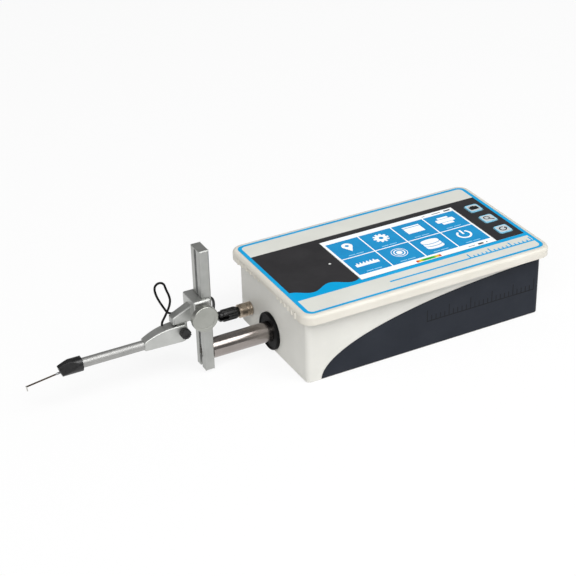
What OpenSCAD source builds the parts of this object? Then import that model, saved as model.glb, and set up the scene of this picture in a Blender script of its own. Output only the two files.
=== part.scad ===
// Surface roughness tester: a drive unit with a touch display, a traversing shaft,
// a height column with its carriage, and a tilting holder with a stylus pick-up.
// Millimetres, +Z up. The origin is the centre of the housing's underside,
// -X points to the pick-up and -Y to the operator.

/* [Housing] */
// Length of the base shell
body_l = 264; // [255:1:290]
// Width of the base shell
body_w = 140; // [136:1:160]
// Height of the base shell's upper edge
base_h = 68.3; // [64:0.1:75]
// Wall of the base shell
wall = 3; // [2.5:0.1:3.8]
// Thickness of the base shell's floor
floor_t = 4; // [3.5:0.1:6]
// Radius of the upright corners
corner_r = 4.5; // [4.5:0.5:10]
// Height of the standing rim under the floor
rim_h = 1; // [0.6:0.1:1.5]
// Width of the standing rim
rim_w = 12; // [10:0.5:16]

/* [Lid] */
// Overhang of the lid at each end
lid_over_l = 6.5; // [5:0.5:10]
// Overhang of the lid at the front and the back
lid_over_w = 10.5; // [8:0.5:14]
// Height of the lid above the base shell
lid_h = 9.9; // [9:0.1:14]
// Thickness of the lid's top
lid_t = 3; // [2.5:0.1:4]
// Radius of the lid's corners
lid_corner_r = 13; // [9:0.5:18]
// Rounding of the lid's upper edge
lid_edge_r = 3.5; // [3:0.5:5]
// Depth of the finger hollow in each end of the lid
scoop_depth = 3; // [1.5:0.1:4]
// Number of grip ribs in each half of a hollow
rib_count = 6; // [3:1:8]

/* [Front panel] */
// Margin of the printed overlay inside the lid's outline
overlay_in = 5; // [4:0.5:7]
// Thickness of the printed overlay
overlay_t = 0.6; // [0.3:0.1:1]
// Panel to the left of the touch glass
plain_field = 76.25; // [70:0.25:90]
// Panel to the right of the touch glass, with the keys
key_field = 36.25; // [34:0.25:40]
// Panel in front of the touch glass
front_field = 32; // [28:0.5:36]
// Panel behind the touch glass
rear_field = 34; // [30:0.5:38]
// Side of a square key
key_s = 14.5; // [13:0.5:17]
// Spacing of the three keys
key_pitch = 26.3; // [24:0.1:28]
// Travel of a key
key_travel = 0.5; // [0.3:0.1:0.8]

/* [Traverse] */
// Distance of the shaft's axis behind the housing's middle
axis_y = 4; // [0:0.5:8]
// Height of the shaft's axis
axis_z = 19.5; // [19.5:0.5:23]
// Diameter of the drive shaft
shaft_d = 20; // [16:0.5:21]
// Shaft showing between the housing and the column
shaft_reach = 65.5; // [62:0.5:75]
// Traverse stroke
stroke = 50; // [30:1:52]
// Diameter of the black flange round the shaft
flange_d = 38.4; // [35:0.2:38.6]

/* [Column] */
// Thickness of the column
column_t = 10; // [9:0.5:13]
// Width of the column
column_w = 20; // [18:0.5:24]
// Height of the column
column_h = 129; // [115:1:140]
// Width of the rack groove
groove_w = 5; // [4:0.1:5.5]
// Diameter of the shaft's end in the column
spigot_d = 10; // [9:0.5:13]

/* [Carriage] */
// Height of the carriage's underside as shown
carriage_z = 56; // [54:0.5:62]
// Height of the carriage
carriage_h = 26; // [24:0.5:30]
// Thickness of the carriage's front wall
carriage_front = 9.3; // [8.9:0.1:12]
// Thickness of the carriage's cheeks
cheek_t = 3.5; // [3:0.1:5]
// Diameter of the height knob
knob_d = 26; // [20:0.5:30]
// Thickness of the height knob's disc
knob_t = 6; // [4:0.5:8]

/* [Pick-up] */
// Thickness of the arm
arm_t = 10.2; // [9.5:0.1:12]
// Reach of the arm from the carriage
arm_reach = 19; // [17:0.5:24]
// Thickness of the arm's tongue
tongue_t = 6; // [5:0.1:6.5]
// Length of the probe holder
holder_l = 43.5; // [40:0.5:52]
// Diameter of the pick-up tube
tube_d = 9.5; // [9:0.1:10]
// Length of the pick-up tube
tube_l = 62; // [50:0.5:75]
// Diameter of the nose
nose_d = 14.6; // [13:0.1:16]
// Length of the nose
nose_l = 23; // [22:0.5:28]
// Length of the stylus from its pivot
stylus_l = 48.5; // [44:0.5:60]
// Angle that the stylus hangs down
stylus_drop = 8.2; // [6:0.1:9]
// Diameter of the thumbscrew's head
thumb_d = 10; // [9:0.5:14]

/* [Hidden] */
$fn = 64;

// Clearances: a loose fit, a running fit and the overlap of a cut past a face
fit = 0.3;
run = 0.04;
cut = 1;

// Housing levels and faces
end_x = -body_l / 2;
inner_x = end_x + wall;
deck_z = rim_h + floor_t;
top_z = base_h + lid_h;
lid_l = body_l + 2 * lid_over_l;
lid_w = body_w + 2 * lid_over_w;
ceiling_z = top_z - lid_t;

// Lid screws: bosses in the corners, a deep counterbore and a seat near the top
screw_d = 3;
head_d = 5.6;
head_h = 3;
boss_d = 10;
boss_seat = 5;
boss_drop = 6;
boss_sink = 0.6;
lid_boss_d = 8;
screw_grip = 7;
hole_over = 1;
boss_x = body_l / 2 - wall - boss_d / 2 + boss_sink;
boss_y = body_w / 2 - wall - boss_d / 2 + boss_sink;
boss_z = base_h - boss_drop;
spigot_t = 2;
spigot_h = 3;
gasket_w = 1.4;
gasket_t = 1.2;

// Lid ends
scoop_in = 3.5;
scoop_span = lid_w - 2 * lid_corner_r - 2 * scoop_in;
scoop_r = (scoop_span * scoop_span / 4 + scoop_depth * scoop_depth) / (2 * scoop_depth);
scoop_h = lid_h - lid_edge_r;
rib_r = 2;
rib_proud = 1.1;
rib_pitch = 8;

// Front panel
overlay_l = lid_l - 2 * overlay_in;
overlay_w = lid_w - 2 * overlay_in;
overlay_r = 8;
glass_l = overlay_l - plain_field - key_field;
glass_w = overlay_w - front_field - rear_field;
glass_x = (plain_field - key_field) / 2;
glass_y = (front_field - rear_field) / 2;
panel_gap = 0.25;
display_t = 6.5;
display_rim = 5;
display_r = 2;
ear_l = 7;
ear_w = 9;
ear_t = 1.5;
post_d = 5.5;
small_screw_d = 2.5;
small_head_d = 4.4;
small_head_h = 1.8;
small_grip = 4;
key_r = 2.5;
key_proud = 0.8;
key_gap = 0.3;
key_rim = 1.5;
key_rim_t = 1;
key_stem = 1.6;
key_stem_d = 5;
key_y = 0.35;
dome_d = 8;
dome_h = 0.9;
dome_gap = 0.1;
board_t = 1.6;
keypad_w = key_s + 2 * key_rim;
keypad_clear = 1.75;
keypad_r = 1.5;
key_x = body_l / 2 - wall - spigot_t - keypad_w / 2 - keypad_clear;
post_room = 7.5;
keypad_margin = key_s / 2 + key_rim + post_room;
keypad_l = 2 * key_pitch + 2 * keypad_margin;
keypad_z = ceiling_z - key_rim_t - key_stem - key_travel - dome_gap - dome_h - panel_gap / 2;
post_in = 3.2;
lens_d = 2.4;
lens_in = 11.25;
lens_x = glass_x - glass_l / 2 - lens_in;

// Foil on the operator's side
foil_t = 0.4;
foil_margin = 0.8;
foil_start = 15;

// Main board and battery
post_z = 42;
board_ends = 84;
board_sides = 18;
board_l = body_l - board_ends;
board_w = body_w - board_sides;
board_x = 10;
board_r = 3;
board_in = 4;
board_post_d = 7;
board_hole = 8;
// Components on the board: place along and across, side and height
chips = [[-50, 20, 22, 3], [-10, -25, 30, 2.5], [40, 15, 16, 4], [60, -30, 12, 6]];
battery_ends = 152;
battery_l = body_l - battery_ends;
battery_r = 3;
battery_h = 20;
battery_gap = 4;
battery_front = 11.2;
tray_rib = 2;
tray_h = 8;

// Drive unit inside the housing
frame_t = 2;
frame_gap = 3;
plate_t = 8;
plate_top = 16;
bush_wall = 1.8;
bush_over = 1;
drive_rest = 174;
bush_span = body_l - drive_rest;
front_plate_x = inner_x + frame_gap;
rear_plate_x = front_plate_x + bush_span;
lead_dy = 26;
lead_y = axis_y + lead_dy;
lead_d = 6;
journal_d = 5;
traveller_t = 12;
traveller_gap = 8;
foot_x_in = 6;
foot_y_in = 5;
floor_skin = 1;
traveller_x = rear_plate_x + plate_t + traveller_gap;
traveller_wall = 2.2;
nut_d = 12;
nut_over = 3;
coupling_d = 10;
coupling_l = 11;
coupling_gap = 4;
coupling_x = traveller_x + traveller_t + stroke + nut_over + coupling_gap;
motor_plate_t = 6;
coupling_clear = 1.5;
motor_plate_x = coupling_x + coupling_l + coupling_clear;
output_d = 4;
output_l = 18;
pilot_d = 12;
gearbox_d = 22;
gearbox_l = 18;
motor_d = 20;
motor_l = 26;
motor_end = 2;
shaft_end_x = traveller_x + traveller_t;
switch_size = [13, 6, 9];
switch_gap = 0.6;
switch_y = axis_y - shaft_d / 2 - traveller_wall - switch_gap - switch_size[1];
frame_front = 1;
frame_rear = 5;
plate_side = 4;
frame_y0 = switch_y - frame_front;
frame_y1 = lead_y + gearbox_d / 2 + frame_rear;

// Flange and seal round the shaft
flange_t = 3.6;
flange_rim = 2.2;
flange_web = 2.5;
flange_hub = 3.7;
flange_hub_d = shaft_d + 2 * flange_hub;
seal_t = 1.6;
seal_lip = 2;

// Probe connector on the end wall
socket_z = 22.7;
socket_d = 11.9;
socket_nose = 7;
socket_back = 10;
ring_d = 14;
ring_l = 14;
ring_lip = 4;
ring_grooves = [1.6, 5.2, ring_l - 1.8];
ring_groove_r = 0.7;
ring_chamfer = 0.8;
socket_wall = 1.5;
socket_nut = 2.5;
socket_clear = 1.65;
socket_y = boss_y - boss_d / 2 - socket_d / 2 - socket_nut - socket_clear;
neck_d = 10;
neck_flange = 2.2;
shell_d = 12.6;
shell_l = 21.5;
shell_taper = 3;
shell_flutes = 8;
flute_d = 2.6;
jaw_d = 10.6;
jaw_l = 4.5;
jaw_slot = 9;
jaw_gap = 3.5;
plug_gap = 0.4;

// Sockets on the far end
charge_y = -30;
charge_z = 24;
charge_d = 11;
charge_bore = 6;
charge_depth = 9;
charge_rim = 1.5;
charge_rim_w = 2;
charge_pin_d = 2;
data_y = -4;
data_w = 12;
data_h = 11;
data_z = 24;
data_wall = 1.6;
data_depth = 9;
data_tongue_w = 4.8;
data_tongue_h = 3.2;

// Column
column_x1 = end_x - shaft_reach;
column_x0 = column_x1 - column_t;
column_z0 = 2.5;
column_z1 = column_z0 + column_h;
column_edge_r = 1.8;
slit_w = 1.8;
clamp_d = 4;
clamp_head_d = 7;
clamp_head_h = 4;
clamp_in = 6.4;
clamp_end = 3;
clamp_z = column_z0 + clamp_in;
end_chamfer = 0.7;
end_recess = 0.2;

// Rack and pinion: the pinion's centre is set by the pitch line of the rack
module_mm = 0.75;
pinion_teeth = 12;
pinion_r = module_mm * pinion_teeth / 2;
tooth_pitch = PI * module_mm;
addendum = 0.6;
dedendum = 0.75;
flank = tan(20);
backlash = 0.25;
tooth_half = (tooth_pitch / 2 - backlash) / 2;
rack_base = 1.4;
rack_inset = 0.8;
rack_side = 0.2;
rack_clear = 2.5;
groove_end = 1.2;
rack_end = 3;
rack_low = axis_z + spigot_d / 2 + rack_clear;
groove_top = column_z1 - groove_end;
rack_high = groove_top - rack_end;
pitch_x = column_x0 + rack_inset + addendum;
groove_depth = rack_inset + addendum + dedendum + rack_base;
pinion_w = 3.6;
pinion_shaft_d = 5;

// Carriage
slide_gap = 0.2;
carriage_x0 = column_x0 - slide_gap - carriage_front;
carriage_y0 = axis_y - column_w / 2 - slide_gap - cheek_t;
carriage_y1 = axis_y + column_w / 2 + slide_gap + cheek_t;
cheek_short = 2;
hook_t = 3;
hook_reach = 12;
carriage_edge_r = 2;
knob_up = 12;
knob_x = pitch_x - pinion_r;
knob_z = carriage_z + knob_up;
shaft_skin = 4;
hub_d = 14;
hub_l = 4.2;
knob_bevel = 1.2;
knob_dish = 0.3;

// Arm with the tongue that the holder's fork turns on
arm_low = 2.8;
arm_root = 19.4;
arm_tip = 10.4;
arm_z0 = carriage_z + arm_low;
arm_top0 = carriage_z + arm_root;
arm_top1 = carriage_z + arm_tip;
arm_end_r = 1;
tilt_drop = 5.7;
tilt_back = 9;
tilt_x = carriage_x0 - tilt_back;
tilt_z = carriage_z - tilt_drop;
tongue_r = 5.5;
tongue_clear = 1;
stud_d = 4;

// Probe holder and pick-up
fork_gap = 0.25;
holder_top = 7.2;
holder_back = 4;
holder_x1 = tilt_x + holder_back;
holder_x0 = holder_x1 - holder_l;
holder_w0 = 10.5;
holder_w1 = 14.6;
holder_flat = 12;
holder_end_h = 9.2;
holder_heel_r = 6;
holder_crown_r = 3;
axis_drop = 6;
probe_z = tilt_z - axis_drop;
holder_z0 = probe_z - holder_end_h / 2;
socket_bore = 7;
socket_len = 15;
stud_floor = 2;
stud_in = 3.6;
thumb_l = 5;
thumb_flutes = 12;
thumb_flute_r = 0.9;
thumb_flute_out = 0.45;
thumb_dish = 0.5;
grommet_d = 2.3;
grommet_hole = 2.4;
grommet_in = 6;
tube_x0 = holder_x0 - tube_l;
tube_wall = 0.9;
tube_web = 4;
tube_bore = 3;
tube_end_gap = 0.5;
coil_l = 16;
coil_in = 1.5;
coil_bore = 6.2;
nose_lap = 0.6;
nose_x1 = tube_x0 + nose_lap;
nose_x0 = nose_x1 - nose_l;
nose_step = 1;
nose_brow_r = 36;
nose_brow_in = 5;
nose_rake = 4;
nose_taper = 13;
nose_lean = 26;
nose_ridge = 8;
nose_slot = 2.8;
nose_slot_top = 0.4;
nose_floor = 1.2;
pivot_in = 5;
pivot_low = 1.2;
pivot_x = nose_x1 - pivot_in;
pivot_z = probe_z - pivot_low;
pivot_d = 1.2;
pin_end = 1.5;
lever_d = 1.5;
lever_hub_d = 3;
lever_hub_w = 2;
lever_tail = 7.5;
ferrule_d = 2.2;
ferrule_l = 7;
ferrule_at = 13.5;
ferrule_taper = 0.35;
ferrule_cone = 2;
tip_d = 1.3;
tip_l = 6.2;
tip_cone = 1;
tip_point = 0.1;

// Pick-up lead: Ø of the sleeve at the plug and of the bare lead, and its route.
// The points are chosen by hand from the plug to the holder.
sleeve_d = 2.9;
lead_cable_d = 1.7;
lead_route = [[-160, 47.5, 22.7], [-165, 47.5, 22.7], [-169.5, 47.5, 23.2], [-172.8, 46.4, 28.5],
    [-174.3, 43.3, 37], [-176.3, 38, 45], [-179, 32.7, 52.2], [-182.5, 27.8, 58.3], [-186.5, 24.3, 62.3],
    [-192, 22.6, 64],
    [-199, 22, 63.5], [-206, 21.8, 61.8], [-213, 21.6, 60], [-220, 21.2, 58.8], [-227, 20, 59.2],
    [-233, 18, 63],
    [-236.5, 17, 69], [-240, 16.5, 76], [-243, 16, 83], [-244.6, 15.7, 88.4], [-245.2, 15.5, 92.4],
    [-244.5, 15.3, 95.8], [-242, 15.1, 98], [-238.6, 14.8, 98], [-236, 14.5, 95.8], [-234.9, 14.2, 92.2],
    [-233.8, 13.7, 88.2], [-232.5, 13, 84], [-231.9, 12.3, 78.6],
    [-233.2, 12, 73.1], [-236, 11.2, 68.3], [-239.6, 10, 63.6], [-242.4, 8.9, 60.4], [-243.3, 8.4, 57.8]];
// Points of the route where the runs meet
run_ends = [0, 9, 15, len(lead_route) - 1];
grommet_x = lead_route[len(lead_route) - 1][0];
grommet_y = lead_route[len(lead_route) - 1][1];
lead_steps = 2;
lead_sides = 8;

// Rounded rectangle about the origin
module round_rect(l, w, r) {
    square([l, w - 2 * r], center = true);
    square([l - 2 * r, w], center = true);
    for (sx = [-1, 1], sy = [-1, 1])
        translate([sx * (l / 2 - r), sy * (w / 2 - r)]) circle(r);
}

// Outline from the edge inward, with its upper outer corner rounded
module edge_profile(depth, h, r) {
    square([depth, h - r]);
    square([depth - r, h]);
    translate([depth - r, h - r]) circle(r);
}

// Slab with rounded corners and a rounded upper edge
module soft_slab(l, w, h, r, edge) {
    linear_extrude(h) square([l - 2 * r, w - 2 * r], center = true);
    for (s = [0, 180]) rotate(s) {
        translate([l / 2 - r, w / 2 - r, 0]) rotate([90, 0, 0])
            linear_extrude(w - 2 * r) edge_profile(r, h, edge);
        translate([-l / 2 + r, w / 2 - r, 0]) rotate([90, 0, 90])
            linear_extrude(l - 2 * r) edge_profile(r, h, edge);
        translate([l / 2 - r, w / 2 - r, 0]) rotate_extrude(angle = 90) edge_profile(r, h, edge);
        translate([-l / 2 + r, w / 2 - r, 0]) rotate(90) rotate_extrude(angle = 90)
            edge_profile(r, h, edge);
    }
}

// Cylinder along +X from x, and along +Y from y
module rod_x(x, l, d) { translate([x, 0, 0]) rotate([0, 90, 0]) cylinder(h = l, d = d); }
module rod_y(y, l, d) { translate([0, y, 0]) rotate([-90, 0, 0]) cylinder(h = l, d = d); }

// Cone along +X from x
module cone_x(x, l, d1, d2) { translate([x, 0, 0]) rotate([0, 90, 0]) cylinder(h = l, d1 = d1, d2 = d2); }

// Profile in the XZ plane pushed from y over a width
module slab_y(y, w) { translate([0, y + w, 0]) rotate([90, 0, 0]) linear_extrude(w) children(); }

// Outline of radius against length, turned about the X axis
module turned_x() { rotate([0, 90, 0]) rotate_extrude() children(); }

// Screw that points up, with its head's underside at the origin
module screw(d, l, hd, hh) {
    cylinder(h = l, d = d);
    translate([0, 0, -hh]) difference() {
        cylinder(h = hh, d = hd);
        translate([0, 0, -cut]) cylinder(h = cut + hh / 2, d = hd / 2, $fn = 6);
    }
}

module at_bosses() { for (sx = [-1, 1], sy = [-1, 1]) translate([sx * boss_x, sy * boss_y, 0]) children(); }
module at_axis() { translate([0, axis_y, axis_z]) children(); }
module at_lead() { translate([0, lead_y, axis_z]) children(); }
module at_socket() { translate([end_x, socket_y, socket_z]) children(); }
module at_knob() { translate([knob_x, axis_y, knob_z]) children(); }
module at_tilt() { translate([tilt_x, axis_y, tilt_z]) children(); }
module at_probe() { translate([0, axis_y, probe_z]) children(); }
module at_stylus() { translate([pivot_x, axis_y, pivot_z]) rotate([0, -stylus_drop, 0]) children(); }
module at_board_posts() {
    for (sx = [-1, 1], sy = [-1, 1])
        translate([board_x + sx * (board_l / 2 - board_in), sy * (board_w / 2 - board_in), 0]) children();
}
module at_ears() {
    for (sx = [-1, 1], sy = [-1, 1])
        translate([glass_x + sx * (glass_l / 2 - ear_w),
            glass_y + sy * (glass_w / 2 + display_rim + ear_l / 2), 0])
            children();
}
module at_keypad_posts() {
    for (sx = [-1, 1], sy = [-1, 1])
        translate([key_x + sx * (keypad_w / 2 - post_in), key_y + sy * (keypad_l / 2 - post_in), 0])
            children();
}
module at_frame_feet() {
    for (x = [front_plate_x + plate_t + foot_x_in, motor_plate_x - foot_x_in],
            y = [frame_y0 + foot_y_in, frame_y1 - foot_y_in])
        translate([x, y, deck_z]) children();
}
key_rows = [1, 0, -1];

module base_shell() {
    color([0.86, 0.85, 0.81]) difference() {
        union() {
            difference() {
                linear_extrude(base_h) round_rect(body_l, body_w, corner_r);
                translate([0, 0, deck_z]) linear_extrude(base_h)
                    round_rect(body_l - 2 * wall, body_w - 2 * wall, corner_r - wall);
            }
            at_bosses() translate([0, 0, deck_z - cut]) cylinder(h = boss_z - deck_z + cut, d = boss_d);
            at_board_posts() translate([0, 0, deck_z - cut])
                cylinder(h = post_z - deck_z + cut, d = board_post_d);
            battery_tray();
        }
        translate([0, 0, -cut]) linear_extrude(cut + rim_h)
            round_rect(body_l - 2 * rim_w, body_w - 2 * rim_w, corner_r);
        at_bosses() {
            translate([0, 0, -cut]) cylinder(h = boss_z - boss_seat + cut, d = head_d + 2 * fit);
            cylinder(h = base_h, d = screw_d + fit);
        }
        at_board_posts() translate([0, 0, post_z - board_hole])
            cylinder(h = board_hole + cut, d = small_screw_d);
        at_axis() rod_x(end_x - cut, wall + 2 * cut, flange_hub_d + fit);
        at_socket() rod_x(-cut, wall + 2 * cut, socket_d + fit);
        translate([-end_x, charge_y, charge_z]) rod_x(-wall - cut, wall + 2 * cut, charge_d + fit);
        translate([-end_x - wall - cut, data_y - data_w / 2 - fit / 2, data_z - data_h / 2 - fit / 2])
            cube([wall + 2 * cut, data_w + fit, data_h + fit]);
        at_frame_feet() translate([0, 0, floor_skin - floor_t]) cylinder(h = floor_t, d = screw_d);
        gasket_ring(gasket_w, base_h - gasket_t, gasket_t + cut);
    }
}

battery_x = board_x - battery_l / 2;
battery_y = wall + battery_front - body_w / 2;
battery_w = frame_y0 - battery_gap - battery_y;
module battery_tray() {
    translate([battery_x - fit - tray_rib, battery_y - fit - tray_rib, deck_z - cut]) difference() {
        cube([battery_l + 2 * fit + 2 * tray_rib, battery_w + 2 * fit + 2 * tray_rib, tray_h + cut]);
        translate([tray_rib, tray_rib, -cut])
            cube([battery_l + 2 * fit, battery_w + 2 * fit, tray_h + 3 * cut]);
    }
}

// Ring in the middle of the base shell's upper edge
module gasket_ring(w, z, h) {
    translate([0, 0, z]) linear_extrude(h) difference() {
        round_rect(body_l - wall + w, body_w - wall + w, corner_r - (wall - w) / 2);
        round_rect(body_l - wall - w, body_w - wall - w, corner_r - (wall + w) / 2);
    }
}

module lid_gasket() { color([0.2, 0.2, 0.21])
    gasket_ring(gasket_w - 2 * run, base_h - gasket_t, gasket_t); }

module lid_screws() {
    color([0.6, 0.61, 0.62]) at_bosses() translate([0, 0, boss_z - boss_seat])
        screw(screw_d, boss_seat + screw_grip, head_d, head_h);
}

module lid() {
    color([0.88, 0.87, 0.84]) difference() {
        union() {
            difference() {
                union() {
                    translate([0, 0, base_h]) soft_slab(lid_l, lid_w, lid_h, lid_corner_r, lid_edge_r);
                    translate([0, 0, base_h - spigot_h]) linear_extrude(spigot_h + cut)
                        round_rect(body_l - 2 * wall - fit, body_w - 2 * wall - fit, corner_r - wall);
                }
                translate([0, 0, base_h - spigot_h - cut])
                    linear_extrude(ceiling_z - base_h + spigot_h + cut)
                    round_rect(body_l - 2 * wall - fit - 2 * spigot_t,
                        body_w - 2 * wall - fit - 2 * spigot_t,
                        corner_r - wall);
                finger_scoops();
            }
            grip_ribs();
            at_bosses() translate([0, 0, boss_z]) cylinder(h = ceiling_z - boss_z + cut, d = lid_boss_d);
            at_ears() translate([0, 0, ceiling_z - display_t + ear_t])
                cylinder(h = display_t - ear_t + cut, d = post_d);
            at_keypad_posts() translate([0, 0, keypad_z])
                cylinder(h = ceiling_z - keypad_z + cut, d = post_d);
        }
        translate([0, 0, top_z - overlay_t]) linear_extrude(overlay_t + cut)
            round_rect(overlay_l, overlay_w, overlay_r);
        translate([glass_x, glass_y, ceiling_z - cut]) linear_extrude(lid_t + 2 * cut)
            square([glass_l, glass_w], center = true);
        key_holes(ceiling_z - cut, lid_t + 2 * cut);
        translate([lens_x, glass_y, ceiling_z - cut]) cylinder(h = lid_t + 2 * cut, d = lens_d + fit);
        at_bosses() translate([0, 0, boss_z - cut]) cylinder(h = cut + screw_grip + hole_over, d = screw_d);
        at_ears() translate([0, 0, ceiling_z - display_t - cut])
            cylinder(h = display_t, d = small_screw_d);
        at_keypad_posts() translate([0, 0, keypad_z - cut])
            cylinder(h = cut + small_grip + fit, d = small_screw_d);
    }
}

// Grip ribs that stand in the hollow of both ends
function scoop_at(y) = max(0, scoop_depth - scoop_r + sqrt(scoop_r * scoop_r - y * y));
module grip_ribs() {
    for (sx = [-1, 1], sy = [-1, 1], i = [1 : rib_count]) {
        y = lid_w / 2 - lid_corner_r - rib_pitch * i;
        translate([sx * (lid_l / 2 - scoop_at(y) + rib_proud - rib_r), sy * y, base_h])
            cylinder(h = scoop_h, r = rib_r, $fn = 32);
    }
}

// Long shallow hollow for the fingers in both ends
module finger_scoops() {
    for (sx = [-1, 1]) translate([sx * (lid_l / 2 + scoop_r - scoop_depth), 0, base_h - cut])
        cylinder(h = scoop_h + cut, r = scoop_r, $fn = 720);
}

module key_holes(z, h) {
    for (row = key_rows) translate([key_x, key_y + row * key_pitch, z])
        linear_extrude(h) round_rect(key_s + 2 * key_gap, key_s + 2 * key_gap, key_r);
}

module front_overlay() {
    color([0.2, 0.55, 0.75]) difference() {
        translate([0, 0, top_z - overlay_t]) linear_extrude(overlay_t)
            round_rect(overlay_l - fit, overlay_w - fit, overlay_r - fit / 2);
        translate([glass_x, glass_y, ceiling_z]) linear_extrude(lid_t + cut)
            square([glass_l, glass_w], center = true);
        key_holes(ceiling_z, lid_t + cut);
        translate([lens_x, glass_y, ceiling_z]) cylinder(h = lid_t + cut, d = lens_d + fit);
    }
}

module touch_glass() {
    color([0.9, 0.95, 0.98]) translate([glass_x, glass_y, ceiling_z]) linear_extrude(lid_t)
        square([glass_l - 2 * panel_gap, glass_w - 2 * panel_gap], center = true);
}

module display_module() {
    color([0.35, 0.37, 0.4]) difference() {
        union() {
            translate([glass_x, glass_y, ceiling_z - display_t]) linear_extrude(display_t)
                round_rect(glass_l + 2 * display_rim, glass_w + 2 * display_rim, display_r);
            at_ears() translate([-ear_w / 2, -ear_l / 2 - cut, ceiling_z - display_t])
                cube([ear_w, ear_l + 2 * cut, ear_t]);
        }
        at_ears() translate([0, 0, ceiling_z - display_t - cut])
            cylinder(h = ear_t + 2 * cut, d = small_screw_d + fit);
        at_ears() translate([0, 0, ceiling_z - display_t + ear_t])
            cylinder(h = display_t, d = post_d + fit);
    }
}

module status_lens() {
    color([0.85, 0.88, 0.9]) translate([lens_x, glass_y, ceiling_z]) cylinder(h = lid_t, d = lens_d);
}

// Key cap through the panel, with a rim that keeps it in and a stem over its switch
module key_cap(row) {
    translate([key_x, key_y + row * key_pitch, 0]) {
        translate([0, 0, ceiling_z - panel_gap / 2 - key_rim_t])
            linear_extrude(top_z + key_proud - ceiling_z + panel_gap / 2 + key_rim_t)
                round_rect(key_s, key_s, key_r);
        translate([0, 0, ceiling_z - panel_gap / 2 - key_rim_t]) linear_extrude(key_rim_t)
            round_rect(key_s + 2 * key_rim, key_s + 2 * key_rim, key_r);
        translate([0, 0, ceiling_z - panel_gap / 2 - key_rim_t - key_stem])
            cylinder(h = key_stem + cut / 2, d = key_stem_d);
    }
}
module key_rear() { color([0.8, 0.82, 0.83]) key_cap(1); }
module key_middle() { color([0.8, 0.82, 0.83]) key_cap(0); }
module key_front() { color([0.8, 0.82, 0.83]) key_cap(-1); }

module keypad_board() {
    color([0.1, 0.35, 0.2]) difference() {
        translate([key_x, key_y, keypad_z - board_t]) linear_extrude(board_t)
            round_rect(keypad_w, keypad_l, keypad_r);
        at_keypad_posts() translate([0, 0, keypad_z - board_t - cut])
            cylinder(h = board_t + 2 * cut, d = small_screw_d + fit);
    }
}

// Snap domes, each a shallow cap on a round foot
module key_domes() {
    color([0.75, 0.76, 0.78]) for (row = key_rows) translate([key_x, key_y + row * key_pitch, keypad_z])
        rotate_extrude() intersection() {
            translate([0, dome_h - dome_d]) circle(r = dome_d, $fn = 180);
            square([dome_d / 2, dome_h]);
        }
}

// Small screws of the display and the keypad
module panel_screws() {
    color([0.6, 0.61, 0.62]) {
        at_ears() translate([0, 0, ceiling_z - display_t])
            screw(small_screw_d, ear_t + small_grip, small_head_d, small_head_h);
        at_keypad_posts() translate([0, 0, keypad_z - board_t])
            screw(small_screw_d, board_t + small_grip, small_head_d, small_head_h);
    }
}

// Upper edge of the foil: a steep start that flattens to the right
foil_h = base_h - 2 * foil_margin;
foil_l = body_l - foil_start + foil_t;
foil_steps = 24;
function foil_edge(t) = let(a = [0, 0], b = [0.011, 0.469], c = [0.386, 0.855], d = [1, 0.912], s = 1 - t)
    s * s * s * a + 3 * s * s * t * b + 3 * s * t * t * c + t * t * t * d;

// Foil on the operator's side, bent round the right-hand corner
module side_foil() {
    color([0.18, 0.2, 0.23]) intersection() {
        linear_extrude(base_h) difference() {
            round_rect(body_l + 2 * foil_t, body_w + 2 * foil_t, corner_r + foil_t);
            round_rect(body_l, body_w, corner_r);
        }
        translate([end_x + foil_start, 0, foil_margin]) slab_y(-body_w / 2 - foil_t, foil_t + corner_r)
            polygon([for (i = [0 : foil_steps]) let(p = foil_edge(i / foil_steps))
                [p[0] * foil_l, p[1] * foil_h],
                [foil_l, 0]]);
    }
}

module main_board() {
    color([0.1, 0.35, 0.2]) difference() {
        union() {
            translate([board_x, 0, post_z]) linear_extrude(board_t) round_rect(board_l, board_w, board_r);
            for (chip = chips)
                translate([board_x + chip[0], chip[1], post_z + board_t / 2])
                    linear_extrude(board_t / 2 + chip[3]) square(chip[2], center = true);
        }
        at_board_posts() translate([0, 0, post_z - cut])
            cylinder(h = board_t + 2 * cut, d = small_screw_d + fit);
    }
}

module board_screws() {
    color([0.6, 0.61, 0.62]) at_board_posts() translate([0, 0, post_z + board_t]) rotate([180, 0, 0])
        screw(small_screw_d, board_t + small_grip, small_head_d, small_head_h);
}

module battery_pack() {
    color([0.25, 0.35, 0.55]) translate([battery_x + battery_l / 2, battery_y + battery_w / 2, deck_z])
        linear_extrude(battery_h) round_rect(battery_l, battery_w, battery_r);
}

module charge_socket() {
    color([0.12, 0.12, 0.13]) translate([-end_x, charge_y, charge_z]) {
        difference() {
            union() {
                rod_x(-wall - charge_depth, wall + charge_depth + charge_rim, charge_d);
                rod_x(0, charge_rim, charge_d + 2 * charge_rim_w);
            }
            rod_x(charge_rim - charge_depth, charge_depth + cut, charge_bore);
        }
        rod_x(charge_rim - charge_depth - cut, charge_depth, charge_pin_d);
    }
}

module data_socket() {
    color([0.7, 0.71, 0.72]) translate([-end_x, data_y, data_z]) {
        difference() {
            translate([-wall - data_depth, -data_w / 2, -data_h / 2])
                cube([wall + data_depth, data_w, data_h]);
            translate([-data_depth, -data_w / 2 + data_wall, -data_h / 2 + data_wall])
                cube([data_depth + cut, data_w - 2 * data_wall, data_h - 2 * data_wall]);
        }
        translate([-data_depth - cut, -data_tongue_w / 2, -data_tongue_h / 2])
            cube([data_depth, data_tongue_w, data_tongue_h]);
    }
}

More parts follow.
